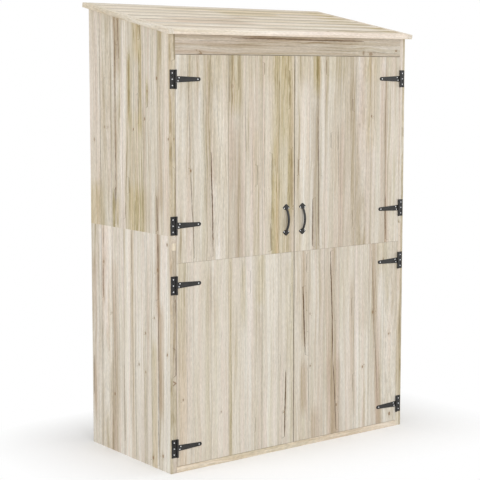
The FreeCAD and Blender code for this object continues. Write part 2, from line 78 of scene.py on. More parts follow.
# %% Place the camera
PHOTO_SIDE = 480
FOCAL_LENGTH_IN_PIXELS = 1318.4
CAMERA_PLACE = (-3.1584, -4.1005, 1.4254)
CAMERA_YAW = radians(37.117)
CAMERA_PITCH = radians(5.96)
CAMERA_SHIFT = -0.055
SENSOR_WIDTH = 36

camera_data = bpy.data.cameras.new("camera")
camera_data.sensor_width = SENSOR_WIDTH
camera_data.lens = FOCAL_LENGTH_IN_PIXELS / PHOTO_SIDE * camera_data.sensor_width
camera_data.shift_y = CAMERA_SHIFT
camera = bpy.data.objects.new("camera", camera_data)
camera.location = CAMERA_PLACE
camera.rotation_euler = (pi / 2 - CAMERA_PITCH, 0, -CAMERA_YAW)
bpy.context.scene.collection.objects.link(camera)
bpy.context.scene.camera = camera
bpy.context.scene.view_settings.view_transform = "Standard"
print("lens", round(camera_data.lens, 1), "mm")

# %% [markdown]
# ## Material nodes
# Materials are built in code, node by node. The class below keeps that readable: each method
# adds a node, feeds it and gives back its output, so that steps can be written one inside
# another. A function turns the 0 to 255 numbers of a colour picker into the linear light that a
# shader works in.


# %% Helpers for node trees
def linear(red, green, blue):
    """A screen colour as linear light: each share c becomes ((c + 0.055) / 1.055) ^ 2.4."""
    share = np.array([red, green, blue]) / 255
    light = np.where(share > 0.04045, ((share + 0.055) / 1.055) ** 2.4, share / 12.92)
    return (*light.tolist(), 1.0)


class Nodes:
    """A node tree, with short ways to add nodes to it."""

    def __init__(self, tree):
        self.tree = tree

    def feed(self, socket, given):
        """Give a socket a value, or the output that feeds it."""
        if isinstance(given, bpy.types.NodeSocket):
            self.tree.links.new(given, socket)
        else:
            socket.default_value = given

    def add(self, kind, settings=None, **sockets):
        """A shader node of a kind; its sockets go by name, or by number as _0, _1 and so on."""
        node = self.tree.nodes.new("ShaderNode" + kind)
        for key, setting in (settings or {}).items():
            setattr(node, key, setting)
        for key, given in sockets.items():
            self.feed(node.inputs[int(key[1:]) if key[1:].isdigit() else key], given)
        return node

    def math(self, operation, first, second=0.0, clamp=False):
        """One step of arithmetic; clamp holds its result between 0 and 1."""
        settings = {"operation": operation, "use_clamp": clamp}
        return self.add("Math", settings, _0=first, _1=second).outputs[0]

    def plus(self, first, second):
        return self.math("ADD", first, second)

    def minus(self, first, second):
        return self.math("SUBTRACT", first, second)

    def times(self, first, second, clamp=False):
        return self.math("MULTIPLY", first, second, clamp)

    def over(self, first, second):
        return self.math("DIVIDE", first, second)

    def spread(self, value, low, high, to_low=0.0, to_high=1.0):
        """Map a value from low..high to to_low..to_high, and hold it inside."""
        return self.add("MapRange", _0=value, _1=low, _2=high, _3=to_low, _4=to_high).outputs[0]

    def vector(self, operation, first, second=(0, 0, 0), out="Vector"):
        """One step of arithmetic on vectors."""
        return self.add("VectorMath", {"operation": operation}, _0=first, _1=second).outputs[out]

    def mix(self, share, first, second, blend="MIX"):
        """Mix two colours by a share."""
        settings = {"data_type": "RGBA", "blend_type": blend}
        return self.add("Mix", settings, _0=share, _6=first, _7=second).outputs[2]

    def ramp(self, value, stops):
        """A colour for each value, from (position, colour) stops."""
        node = self.add("ValToRGB", Fac=value)
        elements = node.color_ramp.elements
        while len(elements) < len(stops):
            elements.new(0.5)
        for element, (position, colour) in zip(elements, stops):
            element.position = position
            element.color = colour
        return node.outputs[0]

    def noise(self, place, scale=1.0, detail=2.0, roughness=0.5):
        """Fractal noise, from 0 to 1 with most of it near 0.5."""
        return self.add("TexNoise", Vector=place, Scale=scale, Detail=detail,
                        Roughness=roughness).outputs[0]

    def attribute(self, name):
        """One of the attributes that a mesh carries, split in three."""
        node = self.add("Attribute", {"attribute_name": name})
        return self.add("SeparateXYZ", Vector=node.outputs["Vector"]).outputs

    def object_place(self):
        """Object coordinates, which keep a texture fixed to its piece."""
        return self.add("TexCoord").outputs["Object"]

    def bump(self, height, strength, distance):
        """Turn a height into fine relief of the surface."""
        return self.add("Bump", Strength=strength, Distance=distance, Height=height).outputs[0]

    def direct(self):
        """1 where the camera looks straight at the surface or through a reflection, else 0."""
        path = self.add("LightPath").outputs
        seen = self.math("MAXIMUM", path["Is Camera Ray"], path["Is Glossy Ray"])
        return self.math("MAXIMUM", seen, path["Is Transmission Ray"])

    def surface(self, **looks):
        """Feed the Principled shader; _ stands for the space in a socket's name."""
        for name, given in looks.items():
            self.feed(self.tree.nodes["Principled BSDF"].inputs[name.replace("_", " ")], given)


def new_material(name):
    """A material with a fresh Principled shader, and its nodes."""
    material = bpy.data.materials.new(name)
    material.use_nodes = True
    return material, Nodes(material.node_tree)


# %% [markdown]
# ## The wood
# The photograph shows pale, unfinished softwood: bands of cream, pink and grey some 10 to 30 mm
# wide that run the length of each board, thin lines of late growth, olive and ochre stains,
# small knots and a few brown streaks. Growth rings are the key. If every point of a board knows
# its distance from the tree's pith, then bands of that distance give straight grain on one
# face, arches on another and true rings on the end grain, all from one material.
#
# The board meshes carry these attributes, and the material reads them:
#
# - wood: ring distance, distance round the ring, and distance along the grain, in metres
# - knot: place in the nearest knot, in knot radii, and its strength
# - streak: distance from a dark streak and its half width, in millimetres, and its strength
# - tone: lightness, coolness and stain of the board at that place, painted highlight and shade
#   included where set; stain is olive above zero and brown below it
# - joint: how much darker the board is near its edges, on the roof mostly painted shade, and
#   how calm the board's figure is, both from 0 to 1

# %% Colours of the wood
WARM_WOOD = [
    (0.0, linear(142, 125, 97)), (0.09, linear(170, 155, 127)), (0.20, linear(190, 176, 151)),
    (0.36, linear(203, 191, 171)), (0.55, linear(212, 202, 185)), (0.76, linear(219, 211, 197)),
    (1.0, linear(227, 221, 211))]
COOL_WOOD = [
    (0.0, linear(152, 137, 111)), (0.09, linear(180, 167, 143)), (0.20, linear(199, 189, 168)),
    (0.36, linear(211, 203, 188)), (0.55, linear(219, 213, 201)), (0.76, linear(224, 220, 211)),
    (1.0, linear(229, 226, 220))]
LATE_WOOD = linear(168, 150, 120)
PINK_TINT = linear(226, 204, 194)
GREEN_TINT = linear(204, 201, 172)
DARK_OLIVE = linear(134, 116, 66)
STREAK_BROWN = linear(104, 82, 58)
CRACK = linear(92, 66, 34)
# What a full stain leaves of the wood's red, green and blue
UNDER_OLIVE = (0.68, 0.63, 0.40, 1)
UNDER_OCHRE = (0.83, 0.74, 0.48, 1)
UNDER_DASH = (0.50, 0.44, 0.22, 1)
UNDER_BROWN = (0.72, 0.62, 0.52, 1)
KNOT_HEART = linear(88, 60, 42)
KNOT_RIM = linear(150, 114, 78)
YEAR = 0.0042
CALM_TONE = 0.58

# %% [markdown]
# Noise that is read in ring coordinates follows the grain and bends with it. Coarse noise gives
# the broad bands and finer noise the narrow ones, and the year's rings are laid over them.

# %% Bands and growth rings
wood, n = new_material("weathered_softwood")
ring, round_ring, along = n.attribute("wood")
knot_x, knot_y, knot_strength = n.attribute("knot")
streak_at, streak_half, streak_strength = n.attribute("streak")
lightness, coolness, stain = n.attribute("tone")
joint, calm = n.attribute("joint")[:2]


def grain_noise(across_scale, round_scale, along_scale, detail=2, roughness=0.5):
    """Noise drawn out along the board, by its scales across the rings, round them and along."""
    place = n.add("CombineXYZ", X=n.times(ring, across_scale), Y=n.times(round_ring, round_scale),
                  Z=n.times(along, along_scale)).outputs[0]
    return n.noise(place, detail=detail, roughness=roughness)


# The rings waver a little from place to place
wander = grain_noise(40, 20, 3, detail=1)
waver = grain_noise(70, 30, 14)
sway = n.plus(n.times(n.minus(wander, 0.5), 0.006), n.times(n.minus(waver, 0.5), 0.003))
ring = n.plus(ring, sway)

broad = grain_noise(24, 5, 0.7, detail=1)
middle = grain_noise(72, 9, 1.3, detail=1)
narrow = grain_noise(210, 16, 3.0, detail=1)
fine = grain_noise(460, 60, 8)
hue = grain_noise(44, 14, 1.2)
cloud = grain_noise(14, 9, 4.0)
dashes = grain_noise(190, 60, 13, detail=1)
flecks = grain_noise(330, 200, 60, roughness=0.6)
fibre = grain_noise(1300, 900, 40, roughness=0.6)

bands = n.times(broad, 0.20)
for layer, share in ((middle, 0.25), (narrow, 0.28), (fine, 0.27)):
    bands = n.plus(bands, n.times(layer, share))
tone_at = n.spread(bands, 0.34, 0.65)
# A calm panel keeps nearer to the middle of its colours
tone_at = n.minus(tone_at, n.times(calm, n.minus(tone_at, CALM_TONE)))
colour = n.mix(coolness, n.ramp(tone_at, WARM_WOOD), n.ramp(tone_at, COOL_WOOD))

# Late growth: a thin darker line at the end of each year's ring
phase = n.math("FRACT", n.plus(n.over(ring, YEAR), n.times(wander, 2.2)))
late = n.times(n.spread(phase, 0.62, 0.93), n.spread(phase, 1.0, 0.95))
late = n.times(late, n.spread(narrow, 0.35, 0.65, 0.34, 0.05))
colour = n.mix(late, colour, LATE_WOOD)

# %% [markdown]
# Colour is laid on in layers, as a painter would: tints first, then stains that let the grain
# show through, and last the marks that hide it, which are streaks, knots and darker board edges.

# %% Tints, stains and marks
colour = n.mix(n.spread(hue, 0.50, 0.70, 0.0, 0.32), colour, PINK_TINT)
colour = n.mix(n.spread(hue, 0.42, 0.28, 0.0, 0.22), colour, GREEN_TINT)
held = n.spread(bands, 0.60, 0.42, 0.6, 1.1)
olive = n.times(stain, held, clamp=True)
brown = n.times(n.times(stain, -1.0), held, clamp=True)
under = n.ramp(middle, [(0.36, UNDER_OLIVE), (0.54, UNDER_OCHRE)])
dashed = n.times(n.spread(dashes, 0.58, 0.66, 0.0, 0.7), stain, clamp=True)
for share, left in ((olive, under), (dashed, UNDER_DASH), (brown, UNDER_BROWN)):
    colour = n.mix(share, colour, left, "MULTIPLY")
for layer, *limits in ((cloud, 0.3, 0.7, 0.965, 1.03), (flecks, 0.26, 0.74, 0.85, 1.12),
                       (fibre, 0.3, 0.7, 0.955, 1.03)):
    colour = n.mix(1.0, colour, n.spread(layer, *limits), "MULTIPLY")

off_centre = n.over(n.math("ABSOLUTE", streak_at), streak_half)
off_centre = n.plus(off_centre, n.spread(flecks, 0.3, 0.7, -0.25, 0.25))
streaked = n.times(n.spread(off_centre, 1.1, 0.5), streak_strength)
streaked = n.times(streaked, n.spread(waver, 0.3, 0.5, 0.6, 1.15), clamp=True)
streak_colour = n.mix(n.times(stain, 1.4, clamp=True), STREAK_BROWN, DARK_OLIVE)
streak_colour = n.mix(n.spread(streak_strength, 0.7, 1.0), streak_colour, CRACK)
colour = n.mix(streaked, colour, streak_colour)

reach = n.math("SQRT", n.plus(n.times(knot_x, knot_x), n.times(knot_y, knot_y)))
reach = n.plus(reach, n.spread(narrow, 0.3, 0.7, -0.18, 0.18))
knot_colour = n.ramp(n.spread(reach, 0.0, 1.1), [
    (0.0, KNOT_HEART), (0.45, KNOT_RIM), (0.62, KNOT_HEART), (0.8, KNOT_RIM), (1.0, LATE_WOOD)])
colour = n.mix(n.times(n.spread(reach, 1.35, 0.75), knot_strength, clamp=True), colour, knot_colour)
halo = n.times(n.spread(reach, 3.2, 1.0), knot_strength, clamp=True)
colour = n.mix(n.times(halo, 0.30), colour, LATE_WOOD)
# Darker and browner near the boards' edges; on the roof this is painted shade of each board
colour = n.mix(n.times(joint, 0.5), colour, STREAK_BROWN)
height = n.plus(n.times(fibre, 0.35), n.times(late, 1.5))
n.surface(Base_Color=n.mix(1.0, colour, lightness, "MULTIPLY"), Specular_IOR_Level=0.35,
          Roughness=n.spread(fibre, 0.3, 0.7, 0.62, 0.78), Normal=n.bump(height, 0.35, 0.0004))
print("wood material has", len(n.tree.nodes), "nodes")

# %% [markdown]
# ## Boards and battens as arrays
# A board is its cross-section carried along its length. The section is a closed outline of
# points (across, depth), and every station along the board repeats it, so the whole board is
# one grid of numbers. The ends follow a plane, which lets the same function cut a post square or
# to the slope of the roof. The doors, walls and shelves differ only in their sections and in
# the three directions that their boards lie in.

# %% Outlines of sections
STEP_ACROSS = 4 * MM


def fill_edges(corners, step=STEP_ACROSS):
    """Put extra points on an outline: each edge is cut into equal pieces no longer than step."""
    corners = np.asarray(corners, float)
    following = np.roll(corners, -1, axis=0)
    pieces = np.ceil(np.linalg.norm(following - corners, axis=1) / step).astype(int).clip(1)
    runs = [start + (end - start) * np.linspace(0, 1, count, endpoint=False)[:, None]
            for start, end, count in zip(corners, following, pieces)]
    return np.concatenate(runs)


def oblong(width, depth):
    """A plain section, width by depth."""
    return np.array([(0, 0), (width, 0), (width, depth), (0, depth)])


def eased(width, depth, ease=0.8 * MM):
    """A batten's section, width by depth, its four arrises cut back by ease."""
    return np.array([(ease, 0), (width - ease, 0), (width, ease), (width, depth - ease),
                     (width - ease, depth), (ease, depth), (0, depth - ease), (0, ease)])


BOARD_COVER = 78.5 * MM
BOARD_JOINT = 0.12 * MM
EDGE_RIP = 4.5 * MM
TONGUE_LENGTH = 3.6 * MM
TONGUE_THICKNESS = 3.4 * MM
TONGUE_PLAY = 0.2 * MM
FACE_BEVEL = 0.3 * MM
JOINT_SHADE = 1.3 * MM


def matched_board(near, far, thickness, tongue, groove):
    """A tongued and grooved section from near to far, with its face at depth 0.

    The tongue stands out at near and the groove is sunk at far. A sawn edge has neither.
    """
    middle = thickness / 2
    half = TONGUE_THICKNESS / 2
    slot = half + TONGUE_PLAY
    sunk = far - TONGUE_LENGTH - TONGUE_PLAY
    face = [(near + FACE_BEVEL * tongue, 0), (near + JOINT_SHADE, 0), (far - JOINT_SHADE, 0),
            (far - FACE_BEVEL * groove, 0)]
    far_edge = [(far, FACE_BEVEL), (far, middle - slot), (sunk, middle - slot),
                (sunk, middle + slot), (far, middle + slot)] if groove else []
    near_edge = [(near, middle + half), (near - TONGUE_LENGTH, middle + half),
                 (near - TONGUE_LENGTH, middle - half), (near, middle - half),
                 (near, FACE_BEVEL)] if tongue else []
    return np.array(face + far_edge + [(far, thickness), (near, thickness)] + near_edge)


# %% [markdown]
# The grain of one board comes from where it lay in the log. A random pith is placed beside and
# behind the board, slightly out of line with it, and each point's ring distance is its distance
# from that pith. Near a knot the rings are pushed aside, as the living trunk grew round the
# branch.

# %% Grain and knots of one board
# Height and length of the slow waves that the grain makes along a board
GRAIN_WAVES = ((2.2 * MM, 0.83), (1.0 * MM, 0.29), (0.4 * MM, 0.11))
# Rings and noise of each board start at a place of their own, up to this far away
FAR_AWAY = 9
KNOT_STRETCH = 1.5


def grain_of(across, depth, along, knots, rng):
    """Ring distance r = sqrt((a - pith_a)^2 + (d + pith_d)^2), with a pushed round the knots.

    The pith drifts with the distance along the board, and a itself wanders by slow sine waves.
    """
    side = rng.choice([-1, 1])
    pith_a = side * rng.uniform(0.03, 0.22)
    pith_d = rng.uniform(0.03, 0.12)
    lean_a, lean_d = rng.uniform(-0.016, 0.016, 2)
    a = across
    for (height, length), start in zip(GRAIN_WAVES, rng.uniform(0, 2 * pi, 3)):
        a = a + height * np.sin(along * 2 * pi / length + start)
    for knot_across, knot_along, radius, _ in knots:
        beside = a - knot_across
        above = along - knot_along
        a = a - radius * np.tanh(beside / (0.6 * radius)) * np.exp(
            -(beside / (3 * radius)) ** 2 - (above / (5 * radius)) ** 2)
    from_pith_a = a - pith_a - lean_a * along
    from_pith_d = depth + pith_d + lean_d * along
    ring = np.hypot(from_pith_a, from_pith_d)
    return np.stack([ring + rng.uniform(0, FAR_AWAY), np.arctan2(from_pith_a, from_pith_d) * ring,
                     along + rng.uniform(0, FAR_AWAY)], -1)


def knot_field(across, along, knots):
    """Place relative to the nearest knot, in its radii, and its strength, which ends at 4 radii."""
    field = np.zeros((*across.shape, 3))
    field[..., 0] = FAR_AWAY
    for knot_across, knot_along, radius, strength in knots:
        x = (across - knot_across) / radius
        y = (along - knot_along) / (KNOT_STRETCH * radius)
        near = np.hypot(x, y) < 4
        field[near] = np.stack([x, y, np.full_like(x, strength)], -1)[near]
    return field


# %% [markdown]
# Streaks and stains are placed as marks. Each leans from one place across the board at its lower
# end to another at its upper end, so it can follow the grain. A streak is a thin line, whose
# distance the material reads; a zone is a soft band that changes the tone.

# %% Streaks and zones of one board
NO_STREAK = 30
STREAK_RANGE = 16
STREAK_WAVE = 0.37
ZONE_FADE = 60 * MM


def streak_field(across, along, streaks, rng):
    """Millimetres from the nearest streak, its half width and strength, which fade at its ends."""
    field = np.zeros((*across.shape, 3))
    field[..., 0] = NO_STREAK
    field[..., 1] = 1
    for at_low, at_high, low, high, half, strength in streaks:
        share = (along - low) / (high - low)
        curve = 0.8 * MM * np.sin(along * 2 * pi / STREAK_WAVE + rng.uniform(0, 2 * pi))
        away = (across - at_low - (at_high - at_low) * share - curve) / MM
        fade = np.clip(np.minimum(share, 1 - share) * 5, 0, 1)
        near = (np.abs(away) < np.minimum(STREAK_RANGE, np.abs(field[..., 0]))) & (fade > 0)
        field[near] = np.stack([away, half / MM * (0.35 + 0.65 * fade),
                                strength * np.ones_like(away)], -1)[near]
    return field


def zones(across, along, marks):
    """Sum of soft zones: amount exp(-(away / half)^4), faded over 60 mm beyond its ends."""
    total = np.zeros(across.shape)
    for at_low, at_high, low, high, half, amount in marks:
        share = np.clip((along - low) / (high - low), 0, 1)
        away = (across - at_low - (at_high - at_low) * share) / half
        fade = np.clip(np.minimum(along - low, high - along) / ZONE_FADE + 0.5, 0, 1)
        total += amount * np.exp(-away ** 4) * fade
    return total


# %% [markdown]
# Now the carrying itself. A member is a section with three directions: across, depth and
# along. Its points are origin + a A + d D + l L, where l runs from the lower end plane to the
# upper one. All members of a node join into one mesh, whose object sits at the origin.

# %% Carry sections into timber
STEP_ALONG = 14 * MM
DARKENING_DEPTH = 6 * MM
COOL_OF_PALE = 8
# rise paints a highlight along a board's near edge and shade along its far edge
PLAIN = dict(knots=(), streaks=(), stains=(), pales=(), tone=(1.0, 0.3, 0.0), joints=0.0,
             darkened_reach=(2 * MM, 2 * MM), rise=0.0, calm=0.0, step=STEP_ALONG)


def member(section, origin, axes, low, high, **look):
    """The facts of one board or batten; low and high are numbers or functions of the section."""
    return dict(PLAIN, section=np.asarray(section), origin=np.asarray(origin, float),
                axes=np.asarray(axes, float), low=low, high=high, **look)


def edge_darkening(from_near, from_far, darkened_reach):
    """Darkening, 0 to 1, near both long edges, each with its own reach, 0 where there is none."""
    darkening = np.zeros(from_near.shape)
    for away, reach in zip((from_near - TONGUE_LENGTH, from_far), darkened_reach):
        if reach:
            darkening = np.maximum(darkening, 1 - away / reach)
    return darkening.clip(0, 1) ** 1.5


def carried(m, rng):
    """Points, quads, end faces and attributes of one member, as arrays."""
    section = m["section"]
    count = len(section)
    low, high = (np.broadcast_to(m[end](section) if callable(m[end]) else m[end], count)
                 for end in ("low", "high"))
    stations = max(int(np.ceil((high.max() - low.min()) / m["step"])), 1) + 1
    along = low + np.linspace(0, 1, stations)[:, None] * (high - low)
    across, depth = (np.broadcast_to(column, along.shape) for column in section.T)
    points = (m["origin"] + np.stack([across, depth, along], -1) @ m["axes"]).reshape(-1, 3)
    start = np.arange(stations - 1)[:, None] * count + np.arange(count)
    after = np.arange(stations - 1)[:, None] * count + (np.arange(count) + 1) % count
    quads = np.stack([start, after, after + count, start + count], -1).reshape(-1, 4)
    ends = [list(range(count))[::-1], list(range((stations - 1) * count, stations * count))]
    if np.linalg.det(m["axes"]) < 0:
        quads = quads[:, ::-1]
        ends = [end[::-1] for end in ends]

    light, cool, stain = m["tone"]
    full = np.ones(across.shape)
    paler = zones(across, along, m["pales"])
    stain = stain + zones(across, along, m["stains"])
    from_edge = across - section[:, 0].min()
    width = section[:, 0].max() - section[:, 0].min()
    # Painted highlight and shade by rise: lighter at the board's near edge, darker at its far edge
    light = light * (1 + paler) + m["rise"] * (0.5 - from_edge / width)
    darkening = edge_darkening(from_edge, section[:, 0].max() - across, m["darkened_reach"]) * (depth < DARKENING_DEPTH)
    attributes = {
        "wood": grain_of(across, depth, along, m["knots"], rng),
        "knot": knot_field(across, along, m["knots"]),
        "streak": streak_field(across, along, m["streaks"], rng),
        "tone": np.stack([light, cool + COOL_OF_PALE * paler, stain], -1),
        "joint": np.stack([m["joints"] * darkening, full * m["calm"], full * 0], -1),
    }
    return points, quads, ends, {k: v.reshape(-1, 3) for k, v in attributes.items()}


# %% [markdown]
# A piece is an object that rides on one of the part's bodies and replaces the plain solid of the
# CAD. Its attributes are stored point by point.

# %% Pieces from arrays
def finish_piece(piece, body, nodes=()):
    """Ride on a body and stand for the CAD nodes given."""
    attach(piece, body)
    if nodes:
        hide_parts(*nodes)


def new_piece(name, points, faces, material, smooth=False):
    """A mesh object at the origin from arrays of points and faces."""
    mesh = bpy.data.meshes.new(name)
    mesh.from_pydata(points.tolist(), [], faces)
    mesh.materials.append(material)
    if smooth:
        mesh.shade_smooth()
    else:
        mesh.shade_flat()
    piece = bpy.data.objects.new(name, mesh)
    bpy.context.scene.collection.objects.link(piece)
    return piece


def carry(piece, name, values):
    """Store one vector for each point of a piece, as an attribute that materials can read."""
    layer = piece.data.attributes.new(name, "FLOAT_VECTOR", "POINT")
    layer.data.foreach_set("vector", values.astype(np.float32).ravel())


def timber(node, members, body):
    """All boards of one CAD node as one piece that replaces it."""
    rng = np.random.default_rng(sum(ord(letter) * (i + 1) for i, letter in enumerate(node)))
    points, faces, fields, count = [], [], [], 0
    for m in members:
        own_points, quads, ends, attributes = carried(m, rng)
        points.append(own_points)
        faces += (quads + count).tolist() + [[i + count for i in end] for end in ends]
        fields.append(attributes)
        count += len(own_points)
    piece = new_piece(node + "_timber", np.concatenate(points), faces, wood)
    for name in fields[0]:
        carry(piece, name, np.concatenate([f[name] for f in fields]))
    finish_piece(piece, body, [node])


# %% [markdown]
# ## Doors and walls
# Every boarded panel is laid out alike: boards of one cover width side by side, the first and
# the last ripped to the panel's edges. What tells them apart in the photograph is their wood.
# The upper doors are warmer, with olive stains towards the middle, the lower ones paler, and
# the upper side wall is greyer with an ochre patch along its foot. The notable streaks and
# knots are listed, in millimetres on the panel, and the rest are left to chance.

# %% Lay out a panel of boards
KNOT_MARGIN = 8 * MM
STREAK_MARGIN = 6 * MM
STREAK_REACH = 8 * MM
PANEL = dict(PLAIN, knots_often=0.0, streaks_often=1.2, joints=1.0, step_across=STEP_ACROSS)


def chance_knots(rng, near, far, low, high, often):
    """A few small knots, a handful to a panel."""
    number = rng.poisson(often)
    return [(rng.uniform(near + KNOT_MARGIN, far - KNOT_MARGIN), rng.uniform(low, high),
             rng.uniform(2.0, 4.5) * MM, rng.uniform(0.35, 0.9)) for _ in range(number)]


def chance_streaks(rng, near, far, low, high, often):
    """Thin brown lines of 80 to 400 mm."""
    number = rng.poisson(often)
    starts = rng.uniform(low, high, number)
    places = rng.uniform(near + STREAK_MARGIN, far - STREAK_MARGIN, number)
    return [(place, place + rng.uniform(-3, 3) * MM, start, start + rng.uniform(0.08, 0.4),
             rng.uniform(0.8, 2.0) * MM, rng.uniform(0.12, 0.42))
            for place, start in zip(places, starts)]


def boarded(node, body, origin, axes, span, thickness, low, high, look):
    """A panel of matched boards; look holds its tone and the marks listed for it."""
    look = PANEL | look
    rng = np.random.default_rng(look["seed"])
    members = []
    count = int(np.ceil((span + EDGE_RIP) / BOARD_COVER))
    length = high if not callable(high) else cad_high.z
    for k in range(count):
        near = max(k * BOARD_COVER - EDGE_RIP + BOARD_JOINT / 2, 0.0)
        far = min((k + 1) * BOARD_COVER - EDGE_RIP - BOARD_JOINT / 2, span)
        section = matched_board(near, far, thickness, k > 0, k < count - 1)
        knots = [mark for mark in look["knots"] if near < mark[0] < far]
        knots += chance_knots(rng, near, far, low, length, look["knots_often"])
        streaks = [mark for mark in look["streaks"]
                   if near - STREAK_REACH < mark[0] < far + STREAK_REACH]
        streaks += chance_streaks(rng, near, far, low, length, look["streaks_often"])
        light, cool, stain = look["tone"]
        near_reach, far_reach = look["darkened_reach"]
        own = dict(knots=knots, streaks=streaks,
                   tone=(light * rng.normal(1, 0.012), cool + rng.normal(0, 0.12), stain),
                   joints=rng.uniform(0.2, 0.8) * look["joints"],
                   darkened_reach=(near_reach * (k > 0), far_reach * (k < count - 1)))
        members.append(member(fill_edges(section, look["step_across"]), origin, axes, low, high,
                              **look | own))
    timber(node, members, body)


def spots(*items):
    """Marks given in millimetres, with their last number, a strength, left as it is.

    A mark of five numbers is upright, so its first number stands for both ends.
    """
    items = [item[:1] + item if len(item) == 5 else item for item in items]
    return [tuple(v * MM for v in item[:-1]) + (item[-1],) for item in items]


# %% [markdown]
# The walls and posts end at the roof, so its plane is worked out once, from its slope and from
# the height of the eaves over the front of the boards.

# %% Planes of the carcass
ROOF_SLOPE = radians(11.2)
BOARD_THICKNESS = 10 * MM
ROOF_THICKNESS = 18 * MM
side_low, side_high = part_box("left_lower_side_boards")
FRONT = side_low.y
BACK = side_high.y
post_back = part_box("left_lower_front_post")[1].y
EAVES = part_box("left_upper_front_post")[1].z - (post_back - FRONT) * tan(ROOF_SLOPE)
print("front", round(FRONT, 5), "eaves", round(EAVES, 5))


def up_to_roof(foot, start, way, column):
    """The upper end of an upright piece, cut to the roof's underside, EAVES + (y - FRONT) tan s.

    Over each point of the section y is start + way times one of its columns, 0 or 1.
    """
    def end(section):
        return EAVES + (start + way * section[:, column] - FRONT) * tan(ROOF_SLOPE) - foot
    return end


# %% [markdown]
# A door is laid out from its hinges to its free edge, so the doors on the right are mirrored and
# the first number of a mark always counts from the hinges. A dark streak along the free edge
# deepens the thin shadow where a pair of doors meets.

